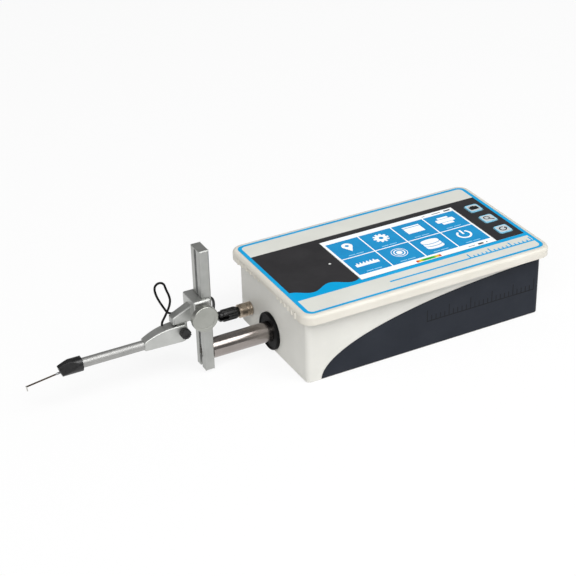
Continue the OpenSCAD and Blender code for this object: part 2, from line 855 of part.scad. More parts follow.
// Bent-up frame of the drive: base plate, two bearing plates and the motor plate
module drive_frame() {
    color([0.65, 0.67, 0.69]) difference() {
        union() {
            translate([front_plate_x, frame_y0, deck_z])
                cube([motor_plate_x + motor_plate_t - front_plate_x, frame_y1 - frame_y0, frame_t]);
            bearing_plate(front_plate_x, frame_y0, axis_y + shaft_d / 2 + bush_wall + plate_side);
            bearing_plate(rear_plate_x, frame_y0, frame_y1);
            translate([motor_plate_x, lead_y - gearbox_d / 2 - plate_side, deck_z]) cube([motor_plate_t,
                frame_y1 - lead_y + gearbox_d / 2 + plate_side, axis_z + gearbox_d / 2 - deck_z]);
        }
        at_axis() rod_x(front_plate_x - cut, rear_plate_x - front_plate_x + plate_t + 2 * cut,
            shaft_d + 2 * bush_wall);
        at_lead() rod_x(rear_plate_x - cut, plate_t + 2 * cut, journal_d + 2 * run);
        at_lead() rod_x(motor_plate_x - cut, motor_plate_t + 2 * cut, pilot_d);
        at_frame_feet() translate([0, 0, -cut]) cylinder(h = frame_t + 2 * cut, d = screw_d + fit);
    }
}
module bearing_plate(x, y0, y1) {
    translate([x, y0, deck_z]) cube([plate_t, y1 - y0, axis_z + plate_top - deck_z]);
}

module frame_screws() {
    color([0.6, 0.61, 0.62]) at_frame_feet() translate([0, 0, frame_t]) rotate([180, 0, 0])
        screw(screw_d, frame_t + floor_t - 2 * floor_skin, head_d, head_h / 2);
}

// Plain bush in a bearing plate, standing out of it on both sides
module bush(x) {
    at_axis() difference() {
        rod_x(x - bush_over, plate_t + 2 * bush_over, shaft_d + 2 * bush_wall);
        rod_x(x - 2 * bush_over, plate_t + 4 * bush_over, shaft_d + 2 * run);
    }
}
module front_bush() { color([0.72, 0.55, 0.25]) bush(front_plate_x); }
module rear_bush() { color([0.72, 0.55, 0.25]) bush(rear_plate_x); }

// Dished flange with a raised rim and a hub through the end wall
module shaft_flange() {
    bore_r = shaft_d / 2 + 2 * fit;
    color([0.1, 0.1, 0.11]) at_axis() translate([end_x, 0, 0]) rotate([0, -90, 0]) rotate_extrude()
        difference() {
        union() {
            translate([bore_r, -wall]) square([flange_hub_d / 2 - bore_r, wall + cut]);
            translate([bore_r, 0]) square([flange_d / 2 - bore_r, flange_web]);
            translate([flange_d / 2 - flange_rim, 0]) square([flange_rim, flange_t - flange_rim / 2]);
            translate([flange_d / 2 - flange_rim / 2, flange_t - flange_rim / 2]) circle(flange_rim / 2);
        }
        translate([0, flange_web - seal_t - cut]) square([bore_r + seal_lip, seal_t]);
    }
}

// Wiper in the flange's groove
module shaft_seal() {
    color([0.15, 0.15, 0.16]) at_axis() difference() {
        rod_x(end_x - flange_web + cut, seal_t, shaft_d + 4 * fit + 2 * seal_lip);
        rod_x(end_x - flange_web, seal_t + 2 * cut, shaft_d + 2 * run);
    }
}

// Ground shaft with a shouldered end that the column clamps, slotted in line with the groove
module drive_shaft() {
    end_x0 = column_x0 + end_recess;
    color([0.8, 0.8, 0.8]) at_axis() {
        rod_x(column_x1, shaft_end_x - column_x1, shaft_d);
        difference() {
            union() {
                rod_x(end_x0 + end_chamfer, column_t + cut - end_chamfer, spigot_d);
                cone_x(end_x0, end_chamfer, spigot_d - 2 * end_chamfer, spigot_d);
            }
            translate([column_x0 - cut, -groove_w / 2, -spigot_d])
                cube([groove_depth + cut, groove_w, 2 * spigot_d]);
        }
    }
}

// Block on the shaft's inner end that carries the drive nut
module traveller() {
    color([0.65, 0.67, 0.69]) difference() {
        union() {
            at_axis() rod_x(traveller_x, traveller_t, shaft_d + 2 * traveller_wall);
            at_lead() rod_x(traveller_x, traveller_t, nut_d + 2 * traveller_wall);
            translate([traveller_x, axis_y, axis_z - nut_d / 2]) cube([traveller_t, lead_dy, nut_d]);
        }
        at_axis() rod_x(traveller_x - cut, traveller_t + 2 * cut, shaft_d);
        at_lead() rod_x(traveller_x - cut, traveller_t + 2 * cut, nut_d);
    }
}

module drive_nut() {
    color([0.75, 0.6, 0.3]) at_lead() difference() {
        union() {
            rod_x(traveller_x, traveller_t + nut_over, nut_d);
            rod_x(traveller_x + traveller_t, nut_over, nut_d + traveller_wall);
        }
        rod_x(traveller_x - cut, traveller_t + nut_over + 2 * cut, lead_d + 2 * run);
    }
}

module lead_screw() {
    color([0.6, 0.61, 0.62]) at_lead() {
        rod_x(rear_plate_x + fit, plate_t + fit, journal_d);
        rod_x(rear_plate_x + plate_t + fit, coupling_x - rear_plate_x - plate_t + coupling_l / 2 - fit,
            lead_d);
    }
}

// Sleeve that joins the lead screw to the gearbox's output shaft
module screw_coupling() {
    color([0.55, 0.57, 0.6]) at_lead() difference() {
        rod_x(coupling_x, coupling_l, coupling_d);
        rod_x(coupling_x - cut, coupling_l / 2 + cut, lead_d);
        rod_x(coupling_x + coupling_l / 2, coupling_l / 2 + cut, output_d);
    }
}

module output_shaft() {
    color([0.6, 0.61, 0.62]) at_lead() rod_x(coupling_x + coupling_l / 2 + fit, output_l, output_d);
}

// Gearbox with a pilot in the motor plate and a blind bore for its output shaft
module gearbox() {
    color([0.5, 0.52, 0.55]) at_lead() difference() {
        union() {
            rod_x(motor_plate_x + motor_plate_t, gearbox_l, gearbox_d);
            rod_x(motor_plate_x + fit, motor_plate_t, pilot_d - 2 * run);
        }
        rod_x(motor_plate_x, output_l, output_d + 2 * run);
    }
}

module drive_motor() {
    color([0.3, 0.31, 0.33]) at_lead() {
        rod_x(motor_plate_x + motor_plate_t + gearbox_l, motor_l, motor_d);
        rod_x(motor_plate_x + motor_plate_t + gearbox_l + motor_l - cut, motor_end + cut, motor_d / 3);
    }
}

// Limit switches beside the traveller, one at each end of its stroke
module end_switches() {
    color([0.15, 0.15, 0.17]) for (x = [traveller_x, traveller_x + stroke])
        translate([x, switch_y, deck_z + frame_t]) cube(switch_size);
}

module probe_socket() {
    color([0.62, 0.58, 0.52]) at_socket() difference() {
        union() {
            rod_x(-socket_nose, socket_nose + wall + socket_back, socket_d);
            rod_x(wall, 2, socket_d + 2 * socket_nut);
        }
        rod_x(-socket_nose - cut, socket_nose, socket_d - 2 * socket_wall);
    }
}

// Coupling ring with turned grooves, captive on the plug's neck
module plug_ring() {
    color([0.66, 0.62, 0.56]) at_socket() translate([-plug_gap, 0, 0]) rotate([0, -90, 0])
        rotate_extrude() difference() {
            square([ring_d / 2, ring_l]);
            translate([-cut, -cut]) square([socket_d / 2 + run + cut, ring_l - ring_lip + cut]);
            translate([-cut, 0]) square([neck_d / 2 + run + cut, ring_l + cut]);
            for (z = ring_grooves) translate([ring_d / 2, z]) circle(ring_groove_r, $fn = 24);
            translate([ring_d / 2 - ring_chamfer, ring_l]) rotate(-45) square([3 * ring_chamfer, cut]);
        }
}

// Back shell: a flange and a neck in the ring, a fluted grip and two clamping jaws
module plug_backshell() {
    ring_end = plug_gap + ring_l;
    flange_x = ring_end - ring_lip - fit;
    grip_x = ring_end + fit;
    shell_end = ring_end + shell_l;
    color([0.11, 0.11, 0.12]) at_socket() difference() {
        rotate([0, -90, 0]) rotate_extrude() {
            translate([0, flange_x - neck_flange]) square([socket_d / 2 - socket_wall - fit, neck_flange]);
            translate([0, flange_x - neck_flange / 2]) square([neck_d / 2, ring_lip + neck_flange]);
            polygon([[0, grip_x], [neck_d / 2, grip_x], [shell_d / 2, grip_x + shell_taper],
                [shell_d / 2, shell_end - jaw_l], [jaw_d / 2, shell_end - jaw_l + 1], [jaw_d / 2,
                    shell_end - 1],
                [jaw_d / 2 - 1, shell_end], [0, shell_end]]);
        }
        for (i = [0 : shell_flutes - 1]) rotate([360 * (i + 0.5) / shell_flutes, 0, 0])
            translate([0, 0, shell_d / 2 + flute_d / 6])
                rod_x(-shell_end - cut, shell_end - grip_x - 1, flute_d);
        translate([-shell_end - cut, -shell_d, -jaw_gap / 2]) cube([jaw_slot + cut, 2 * shell_d, jaw_gap]);
    }
}

// Tube of one diameter swept along a smoothed route
function spline(p, i, t) = let(n = len(p)
    - 1, a = p[max(i - 1, 0)], b = p[i], c = p[i + 1], d = p[min(i + 2, n)])
    0.5 * (2 * b + (c - a) * t + (2 * a - 5 * b + 4 * c - d) * t * t + (3 * b - a - 3 * c + d) * t * t * t);
function smooth(p, steps) = concat(
    [for (i = [0 : len(p) - 2], j = [0 : steps - 1]) spline(p, i, j / steps)], [p[len(p) - 1]]);
function unit(v) = v / norm(v);
function ring(c, tangent, r) = let(u = unit(cross([0, 1, 0], tangent)), v = cross(tangent, u))
    [for (k = [0 : lead_sides - 1]) let(a = 360 * k / lead_sides) c + r * (cos(a) * u + sin(a) * v)];
lead_path = smooth(lead_route, lead_steps);
lead_last = len(lead_path) - 1;
// Direction of the lead, straight out of the plug and straight into the holder at its ends
function heading(i) = i == 0 ? [-1, 0, 0] : i == lead_last ? [0, 0, -1]
    : unit(lead_path[i + 1] - lead_path[i - 1]);
module sweep(run_no, d) {
    first = run_ends[run_no] * lead_steps;
    last = run_ends[run_no + 1] * lead_steps;
    n = last - first + 1;
    rings = [for (i = [first : last]) ring(lead_path[i], heading(i), d / 2)];
    polyhedron([for (r = rings) each r], concat(
        [[for (k = [0 : lead_sides - 1]) k]],
        [for (i = [0 : n - 2], k = [0 : lead_sides - 1]) let(a = i * lead_sides, b = (k + 1) % lead_sides)
            [a + k, a + lead_sides + k, a + lead_sides + b, a + b]],
        [[for (k = [lead_sides - 1 : -1 : 0]) (n - 1) * lead_sides + k]]));
}
module cable_plug_run() { color([0.08, 0.08, 0.08]) sweep(0, sleeve_d); }
module cable_carriage_run() { color([0.08, 0.08, 0.08]) sweep(1, lead_cable_d); }
module cable_pickup_run() { color([0.08, 0.08, 0.08]) sweep(2, lead_cable_d); }

// Flat bar with a rack groove, a bore for the shaft's end and a clamping slit below it
module column() {
    color([0.72, 0.73, 0.72]) difference() {
        translate([(column_x0 + column_x1) / 2, axis_y, column_z0]) linear_extrude(column_h)
            round_rect(column_t, column_w, column_edge_r);
        translate([column_x0, axis_y, 0]) {
            translate([-cut, -groove_w / 2, column_z0 - cut])
                cube([groove_depth + cut, groove_w, groove_top - groove_w / 2 - column_z0 + cut]);
            translate([0, 0, groove_top - groove_w / 2]) rod_x(-cut, groove_depth + cut, groove_w);
            translate([-cut, -slit_w / 2, column_z0 - cut])
                cube([column_t + 2 * cut, slit_w, axis_z - column_z0]);
        }
        at_axis() {
            rod_x(column_x0 - cut, column_t + 2 * cut, spigot_d);
            cone_x(column_x0, end_chamfer, spigot_d + 2 * end_chamfer, spigot_d);
        }
        translate([column_x0 + column_t / 2, axis_y, clamp_z]) {
            rod_y(clamp_end - column_w / 2, column_w, clamp_d);
            rod_y(column_w / 2 - clamp_head_h, clamp_head_h + cut, clamp_head_d + fit);
        }
        column_top_round();
    }
}

// Rounding along both long edges of the column's upper end
module column_top_round() {
    r = 2;
    for (s = [-1, 1]) translate([column_x0 - cut, axis_y + s * (column_w / 2 - r), column_z1 - r])
        difference() {
        translate([0, s > 0 ? 0 : -r - cut, 0]) cube([column_t + 2 * cut, r + cut, r + cut]);
        rod_x(-cut, column_t + 4 * cut, 2 * r);
    }
}

module clamp_screw() {
    color([0.2, 0.2, 0.21]) translate([column_x0 + column_t / 2, axis_y + column_w / 2 - clamp_head_h,
        clamp_z])
        rotate([90, 0, 0]) screw(clamp_d, column_w - clamp_head_h - clamp_end - fit, clamp_head_d,
            clamp_head_h - fit);
}

// Rack strip on the groove's floor, with one tooth level with the pinion's centre
module height_rack() {
    root = pitch_x + dedendum;
    n0 = ceil((rack_low - knob_z) / tooth_pitch);
    n1 = floor((rack_high - knob_z) / tooth_pitch);
    tip_half = tooth_half - addendum * flank;
    root_half = tooth_half + dedendum * flank;
    color([0.55, 0.53, 0.48]) slab_y(axis_y - groove_w / 2 + rack_side, groove_w - 2 * rack_side)
        polygon(concat(
        [[column_x0 + groove_depth, rack_low - tooth_pitch / 2], [root, rack_low - tooth_pitch / 2]],
        [for (i = [n0 : n1]) let(z = knob_z + i * tooth_pitch) each [[root, z - root_half],
            [pitch_x - addendum, z - tip_half], [pitch_x - addendum, z + tip_half], [root, z + root_half]]],
        [[root, rack_high + tooth_pitch / 2], [column_x0 + groove_depth, rack_high + tooth_pitch / 2]]));
}

// Casting round three sides of the column, with a hook behind its far face and the arm in front
module carriage() {
    l = column_x1 - cheek_short - carriage_x0;
    color([0.7, 0.71, 0.7]) difference() {
        union() {
            difference() {
                translate([carriage_x0 + l / 2, axis_y, carriage_z]) linear_extrude(carriage_h)
                    round_rect(l, carriage_y1 - carriage_y0, carriage_edge_r);
                carriage_crown();
            }
            translate([column_x1 - cheek_short - carriage_edge_r - cut, carriage_y1 - cheek_t, carriage_z])
                cube([cheek_short + carriage_edge_r + cut + slide_gap + hook_t, cheek_t, carriage_h]);
            translate([column_x1 + slide_gap, carriage_y1 - hook_reach - cheek_t, carriage_z])
                cube([hook_t, hook_reach + cheek_t, carriage_h]);
            arm();
        }
        at_tilt() rod_y(-tongue_t, 2 * tongue_t, stud_d + 2 * run);
        translate([column_x0 - slide_gap, axis_y - column_w / 2 - slide_gap, carriage_z - cut])
            cube([column_t + 2 * slide_gap, column_w + 2 * slide_gap, carriage_h + 2 * cut]);
        at_knob() {
            rod_y(-pinion_w / 2 - fit, pinion_w + 2 * fit, 2 * (pinion_r + addendum + fit));
            rod_y(carriage_y0 - axis_y - cut, carriage_y1 - carriage_y0 + cut - shaft_skin + fit,
                pinion_shaft_d + 2 * run);
        }
    }
}

// Rounding along the operator's upper edge and the rear upper edge of the carriage
module carriage_crown() {
    r = 2.5;
    for (s = [-1, 1]) {
        y = s < 0 ? carriage_y0 + r : carriage_y1 - r;
        translate([carriage_x0 - cut, y, carriage_z + carriage_h - r]) difference() {
            translate([0, s > 0 ? 0 : -r - cut, 0]) cube([column_x1 - carriage_x0 + cut, r + cut, r + cut]);
            rod_x(-cut, column_x1 - carriage_x0 + 4 * cut, 2 * r);
        }
    }
}

// Pinion with straight-sided teeth, a tooth space facing the rack
module height_pinion() {
    root_r = pinion_r - dedendum;
    tip_half = tooth_half - addendum * flank;
    root_half = tooth_half + dedendum * flank;
    color([0.6, 0.55, 0.4]) at_knob() slab_y(-pinion_w / 2, pinion_w) difference() {
        union() {
            circle(root_r);
            for (i = [0 : pinion_teeth - 1]) rotate(360 * (i + 0.5) / pinion_teeth)
                polygon([[0, -root_half], [root_r, -root_half], [pinion_r + addendum, -tip_half],
                    [pinion_r + addendum, tip_half], [root_r, root_half], [0, root_half]]);
        }
        circle(d = pinion_shaft_d);
    }
}

module pinion_shaft() {
    y0 = carriage_y0 - axis_y - hub_l;
    color([0.6, 0.61, 0.62]) at_knob() rod_y(y0, carriage_y1 - axis_y - shaft_skin - y0, pinion_shaft_d);
}

// Disc knob with bevelled edges, a shallow face recess and a hub
module height_knob() {
    y1 = carriage_y0 - axis_y - fit;
    color([0.66, 0.67, 0.65]) at_knob() translate([0, y1, 0]) rotate([90, 0, 0]) rotate_extrude()
        difference() {
        union() {
            square([hub_d / 2, hub_l + cut]);
            translate([0, hub_l]) square([knob_d / 2 - knob_bevel, knob_t]);
            translate([0, hub_l + knob_bevel]) square([knob_d / 2, knob_t - 2 * knob_bevel]);
            for (z = [hub_l + knob_bevel, hub_l + knob_t - knob_bevel])
                translate([knob_d / 2 - knob_bevel, z]) circle(knob_bevel, $fn = 32);
        }
        translate([-cut, -cut]) square([pinion_shaft_d / 2 + cut, hub_l - fit + cut]);
        translate([-cut, hub_l + knob_t - knob_dish]) square([knob_d / 2 - 3 * knob_bevel + cut, cut]);
    }
}

// Arm with a sloping back and a tongue down into the fork
module arm() {
    x1 = carriage_x0 + cut;
    x0 = carriage_x0 - arm_reach;
    slope = (arm_top0 - arm_top1) / arm_reach;
    slab_y(axis_y - arm_t / 2, arm_t) {
        polygon([[x1, arm_z0], [x0 + arm_end_r, arm_z0], [x0, arm_z0 + arm_end_r],
            [x0, arm_top1 - arm_end_r], [x0 + arm_end_r, arm_top1 + slope * arm_end_r],
            [x1, arm_top0 + slope * cut]]);
        for (z = [arm_z0 + arm_end_r, arm_top1 - arm_end_r]) translate([x0 + arm_end_r, z])
            circle(arm_end_r);
    }
    slab_y(axis_y - tongue_t / 2, tongue_t) {
        translate([tilt_x, tilt_z]) circle(tongue_r);
        translate([tilt_x - tongue_r, tilt_z]) square([2 * tongue_r, arm_z0 - tilt_z + cut]);
    }
}

// Forked holder: a side outline with a curved back, tapered in plan, a slot for the tongue
module probe_holder() {
    back_r = (pow(holder_l - holder_flat, 2) + pow(tilt_z + holder_top - probe_z - holder_end_h / 2, 2))
        / (2 * (tilt_z + holder_top - probe_z - holder_end_h / 2));
    slot_x = tilt_x - tongue_r - tongue_clear;
    color([0.74, 0.75, 0.74]) difference() {
        intersection() {
            slab_y(axis_y - holder_w1, 2 * holder_w1) difference() {
                intersection() {
                    translate([holder_x0, holder_z0]) square([holder_l, tilt_z + holder_top - holder_z0]);
                    union() {
                        translate([holder_x1 - holder_flat, tilt_z + holder_top - back_r])
                            circle(back_r, $fn = 180);
                        translate([holder_x1 - holder_flat, holder_z0])
                            square([holder_flat + cut, holder_l]);
                    }
                }
                corner_cut(holder_x1, holder_z0, holder_heel_r, 1, -1);
                corner_cut(holder_x1, tilt_z + holder_top, holder_crown_r, 1, 1);
            }
            translate([0, axis_y, holder_z0 - cut]) linear_extrude(holder_l)
                polygon([[holder_x0, -holder_w0 / 2], [holder_x1, -holder_w1 / 2],
                    [holder_x1, holder_w1 / 2], [holder_x0, holder_w0 / 2]]);
        }
        translate([slot_x, axis_y - tongue_t / 2 - fork_gap, holder_z0 - cut])
            cube([holder_l, tongue_t + 2 * fork_gap, holder_l]);
        at_tilt() rod_y(-holder_w1, 1.5 * holder_w1 - stud_floor, stud_d + 2 * run);
        at_probe() rod_x(holder_x0 - cut, socket_len + cut, socket_bore);
        translate([grommet_x, grommet_y, probe_z + grommet_in - fit])
            cylinder(h = holder_l, d = grommet_hole);
    }
}

// Square corner outside a fillet: the corner point, the radius and which way it points
module corner_cut(x, z, r, sx, sz) {
    translate([x - sx * r, z - sz * r]) difference() {
        translate([sx > 0 ? 0 : -r - cut, sz > 0 ? 0 : -r - cut]) square(r + cut);
        circle(r);
    }
}

// Plastic head of the thumbscrew, with flutes, a dished face and a blind bore
module thumb_knob() {
    y1 = -holder_w1 / 2 - fit;
    color([0.08, 0.08, 0.08]) at_tilt() difference() {
        slab_y(y1 - thumb_l, thumb_l) difference() {
            circle(d = thumb_d);
            for (i = [0 : thumb_flutes - 1]) rotate(360 * i / thumb_flutes)
                translate([thumb_d / 2 + thumb_flute_out, 0]) circle(thumb_flute_r, $fn = 24);
        }
        rod_y(y1 - stud_in, stud_in + cut, stud_d);
        rod_y(y1 - thumb_l - cut, thumb_dish + cut, thumb_d / 2);
    }
}

module thumb_stud() {
    y0 = -holder_w1 / 2 - fit - stud_in;
    color([0.6, 0.61, 0.62]) at_tilt() rod_y(y0, holder_w1 / 2 - stud_floor - fit - y0, stud_d);
}

// Sleeve in the holder that the lead goes into
module cable_grommet() {
    z0 = probe_z + grommet_in;
    top = lead_route[len(lead_route) - 1][2];
    color([0.08, 0.08, 0.08]) translate([grommet_x, grommet_y, z0]) cylinder(h = top - z0, d = grommet_d);
}

// Tube with a reduced end in the holder
module pickup_tube() {
    color([0.82, 0.82, 0.82]) at_probe() difference() {
        union() {
            rod_x(tube_x0, tube_l, tube_d);
            rod_x(holder_x0 - cut, socket_len + cut - tube_end_gap, socket_bore);
        }
        rod_x(tube_x0 - cut, tube_l - tube_web + cut, tube_d - 2 * tube_wall);
        rod_x(tube_x0, tube_l + socket_len + cut, tube_bore);
    }
}

// Inductive coil round the lever's tail
module pickup_coil() {
    color([0.6, 0.35, 0.2]) at_probe() difference() {
        rod_x(tube_x0 + coil_in, coil_l, tube_d - 2 * tube_wall);
        rod_x(tube_x0 + coil_in - cut, coil_l + 2 * cut, coil_bore);
    }
}

// Nose: a round sleeve with a falling brow, two leaning side facets and a slot for the stylus
module nose_cap() {
    r = nose_d / 2;
    color([0.09, 0.09, 0.1]) at_probe() difference() {
        intersection() {
            rod_x(nose_x0, nose_l, nose_d);
            slab_y(-r - cut, 2 * r + 2 * cut) intersection() {
                polygon([[nose_x1 + cut, -r - cut], [nose_x0 + nose_rake, -r - cut], [nose_x0, r / 2],
                    [nose_x0, r + cut], [nose_x1 + cut, r + cut]]);
                translate([nose_x1 - nose_brow_in, r - nose_brow_r]) circle(nose_brow_r, $fn = 180);
            }
        }
        for (s = [0, 1]) mirror([0, s, 0]) translate([nose_x1 - nose_ridge, -r, 0])
            rotate([0, 0, -nose_taper]) rotate([-nose_lean, 0, 0]) translate([-nose_l, -nose_l, -nose_l])
                cube([2 * nose_l, nose_l, 2 * nose_l]);
        rod_x(nose_x1 - nose_step, nose_step + cut, tube_d + 2 * run);
        rod_x(nose_x1 - nose_l / 2, nose_l, tube_d - 2 * tube_wall);
        translate([nose_x0 - cut, -nose_slot / 2, nose_floor - r])
            cube([nose_l / 2 + 2 * cut, nose_slot, nose_slot_top + r - nose_floor]);
        translate([pivot_x, 0, pivot_z - probe_z]) rod_y(pin_end - r, 2 * r - 2 * pin_end, pivot_d);
    }
}

module pivot_pin() {
    r = nose_d / 2;
    color([0.6, 0.61, 0.62]) translate([pivot_x, axis_y, pivot_z])
        rod_y(pin_end - r, 2 * r - 2 * pin_end, pivot_d);
}

// Lever with a hub on the pivot and a tail into the coil
module stylus_lever() {
    color([0.2, 0.18, 0.16]) at_stylus() difference() {
        union() {
            rod_x(-stylus_l, stylus_l, lever_d);
            rod_y(-lever_hub_w / 2, lever_hub_w, lever_hub_d);
            rotate([0, stylus_drop, 0]) rod_x(0, lever_tail, lever_d);
        }
        rod_y(-lever_hub_w, 2 * lever_hub_w, pivot_d + 2 * run);
    }
}

module stylus_ferrule() {
    color([0.7, 0.7, 0.69]) at_stylus() difference() {
        turned_x() translate([0, -ferrule_at - ferrule_l]) polygon([[0, 0],
            [ferrule_d / 2 - ferrule_taper, 0], [ferrule_d / 2, ferrule_cone], [ferrule_d / 2, ferrule_l],
            [0, ferrule_l]]);
        rod_x(-ferrule_at - ferrule_l - cut, ferrule_l + 2 * cut, lever_d);
    }
}

// Tip holder across the lever's end, ending in a cone
module stylus_tip() {
    color([0.8, 0.79, 0.77]) at_stylus() translate([-stylus_l - tip_d / 2, 0, lever_d / 2])
        rotate([180, 0, 0]) {
        cylinder(h = tip_l - tip_cone, d = tip_d);
        translate([0, 0, tip_l - tip_cone]) cylinder(h = tip_cone, d1 = tip_d, d2 = tip_point);
    }
}

base_shell();
lid();
lid_gasket();
lid_screws();
side_foil();
front_overlay();
touch_glass();
display_module();
key_rear();
key_middle();
key_front();
keypad_board();
key_domes();
panel_screws();
status_lens();
main_board();
board_screws();
battery_pack();
charge_socket();
data_socket();
drive_frame();
frame_screws();
front_bush();
rear_bush();
shaft_flange();
shaft_seal();
drive_shaft();
traveller();
drive_nut();
lead_screw();
screw_coupling();
output_shaft();
gearbox();
drive_motor();
end_switches();
probe_socket();
plug_ring();
plug_backshell();
cable_plug_run();
cable_carriage_run();
cable_pickup_run();
column();
clamp_screw();
height_rack();
carriage();
height_pinion();
pinion_shaft();
height_knob();
probe_holder();
thumb_knob();
thumb_stud();
cable_grommet();
pickup_tube();
pickup_coil();
nose_cap();
pivot_pin();
stylus_lever();
stylus_ferrule();
stylus_tip();
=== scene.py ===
# Surface roughness tester: finishes, lead, rounded castings, panel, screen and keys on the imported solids
import bpy
import bmesh
import math
from mathutils import Matrix, Vector


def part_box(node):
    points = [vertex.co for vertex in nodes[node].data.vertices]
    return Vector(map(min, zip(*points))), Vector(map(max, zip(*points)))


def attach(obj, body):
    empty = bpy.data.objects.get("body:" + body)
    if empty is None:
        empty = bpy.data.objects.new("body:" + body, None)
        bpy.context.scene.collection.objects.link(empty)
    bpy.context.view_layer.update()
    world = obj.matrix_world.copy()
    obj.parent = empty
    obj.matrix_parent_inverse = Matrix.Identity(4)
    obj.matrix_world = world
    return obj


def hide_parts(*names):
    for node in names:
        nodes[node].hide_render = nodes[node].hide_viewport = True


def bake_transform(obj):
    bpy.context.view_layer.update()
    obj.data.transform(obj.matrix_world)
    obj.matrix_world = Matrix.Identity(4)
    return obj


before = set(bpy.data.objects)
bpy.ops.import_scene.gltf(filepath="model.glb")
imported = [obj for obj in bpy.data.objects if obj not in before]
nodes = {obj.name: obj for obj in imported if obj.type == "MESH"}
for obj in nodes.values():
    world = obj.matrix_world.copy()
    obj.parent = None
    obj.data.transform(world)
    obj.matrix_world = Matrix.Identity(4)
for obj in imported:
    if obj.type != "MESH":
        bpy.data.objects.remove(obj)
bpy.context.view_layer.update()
mm = 0.001
print("loaded", len(nodes), "nodes")

# camera: fitted to the photograph, in degrees and millimetres
view = dict(azimuth=-27.11, elevation=29.97, roll=-1.54, lens=96.06, sensor=36, eye=(-697.7, -1139.8, 802.4))


def placeCamera():
    az, el, roll = (math.radians(view[k]) for k in ("azimuth", "elevation", "roll"))
    back = Vector((math.sin(az) * math.cos(el), -math.cos(az) * math.cos(el), math.sin(el)))
    right = Vector((math.cos(az), math.sin(az), 0))
    up = back.cross(right)
    side = math.cos(roll) * right + math.sin(roll) * up
    head = -math.sin(roll) * right + math.cos(roll) * up
    data = bpy.data.cameras.new("studioCamera")
    data.lens, data.sensor_width, data.sensor_fit = view["lens"], view["sensor"], "HORIZONTAL"
    camera = bpy.data.objects.new("studioCamera", data)
    turn = Matrix((side, head, back)).transposed().to_4x4()
    camera.matrix_world = Matrix.Translation(Vector(view["eye"]) * mm) @ turn
    bpy.context.scene.collection.objects.link(camera)
    bpy.context.scene.camera = camera


placeCamera()
print("camera placed")

# small tools for node trees; most of a noise texture lies between low and high
texture = dict(low=0.3, high=0.7, rough=0.55, glossFiner=3, edgeSamples=6)


def tone(r, g, b):  # screen colour to linear
    def flat(c):
        c /= 255
        return c / 12.92 if c <= 0.04045 else ((c + 0.055) / 1.055) ** 2.4
    return flat(r), flat(g), flat(b), 1


def node(tree, kind, **settings):
    made = tree.nodes.new(kind)
    for key, value in settings.items():
        setattr(made, key, value)
    return made


def startFinish(name):
    finish = bpy.data.materials.new(name)
    finish.use_nodes = True
    tree = finish.node_tree
    shader = tree.nodes["Principled BSDF"]
    coords = node(tree, "ShaderNodeTexCoord").outputs["Object"]
    return finish, tree, shader, coords


def stretched(tree, coords, scale=(1, 1, 1), centre=(0, 0, 0)):
    mapping = node(tree, "ShaderNodeMapping")
    mapping.inputs["Location"].default_value = [-c * s for c, s in zip(centre, scale)]
    mapping.inputs["Scale"].default_value = scale
    tree.links.new(coords, mapping.inputs["Vector"])
    return mapping.outputs["Vector"]


def noise(tree, coords, scale, detail=3):
    made = node(tree, "ShaderNodeTexNoise")
    made.inputs["Scale"].default_value = scale
    made.inputs["Detail"].default_value = detail
    made.inputs["Roughness"].default_value = texture["rough"]
    tree.links.new(coords, made.inputs["Vector"])
    return made.outputs["Fac"]


def spread(tree, value, low, high):
    made = node(tree, "ShaderNodeMapRange")
    made.inputs["From Min"].default_value = texture["low"]
    made.inputs["From Max"].default_value = texture["high"]
    made.inputs["To Min"].default_value = low
    made.inputs["To Max"].default_value = high
    tree.links.new(value, made.inputs["Value"])
    return made.outputs["Result"]


def ramp(tree, value, stops):
    made = node(tree, "ShaderNodeValToRGB")
    band = made.color_ramp
    while len(band.elements) < len(stops):
        band.elements.new(0.5)
    for element, (at, colour) in zip(band.elements, stops):
        element.position = at
        element.color = colour
    tree.links.new(value, made.inputs["Fac"])
    return made.outputs["Color"]


def patchyColour(tree, coords, look):
    patches = noise(tree, coords, look["patch"], detail=4)
    stops = [(texture["low"], tone(*look["dark"])), (texture["high"], tone(*look["light"]))]
    return ramp(tree, patches, stops)


def relief(tree, shader, height, look):
    bump = node(tree, "ShaderNodeBump")
    bump.inputs["Distance"].default_value = look["depth"]
    bump.inputs["Strength"].default_value = look["bump"]
    tree.links.new(height, bump.inputs["Height"])
    if look["edge"]:
        soft = node(tree, "ShaderNodeBevel", samples=texture["edgeSamples"])
        soft.inputs["Radius"].default_value = look["edge"]
        tree.links.new(soft.outputs["Normal"], bump.inputs["Normal"])
    tree.links.new(bump.outputs["Normal"], shader.inputs["Normal"])


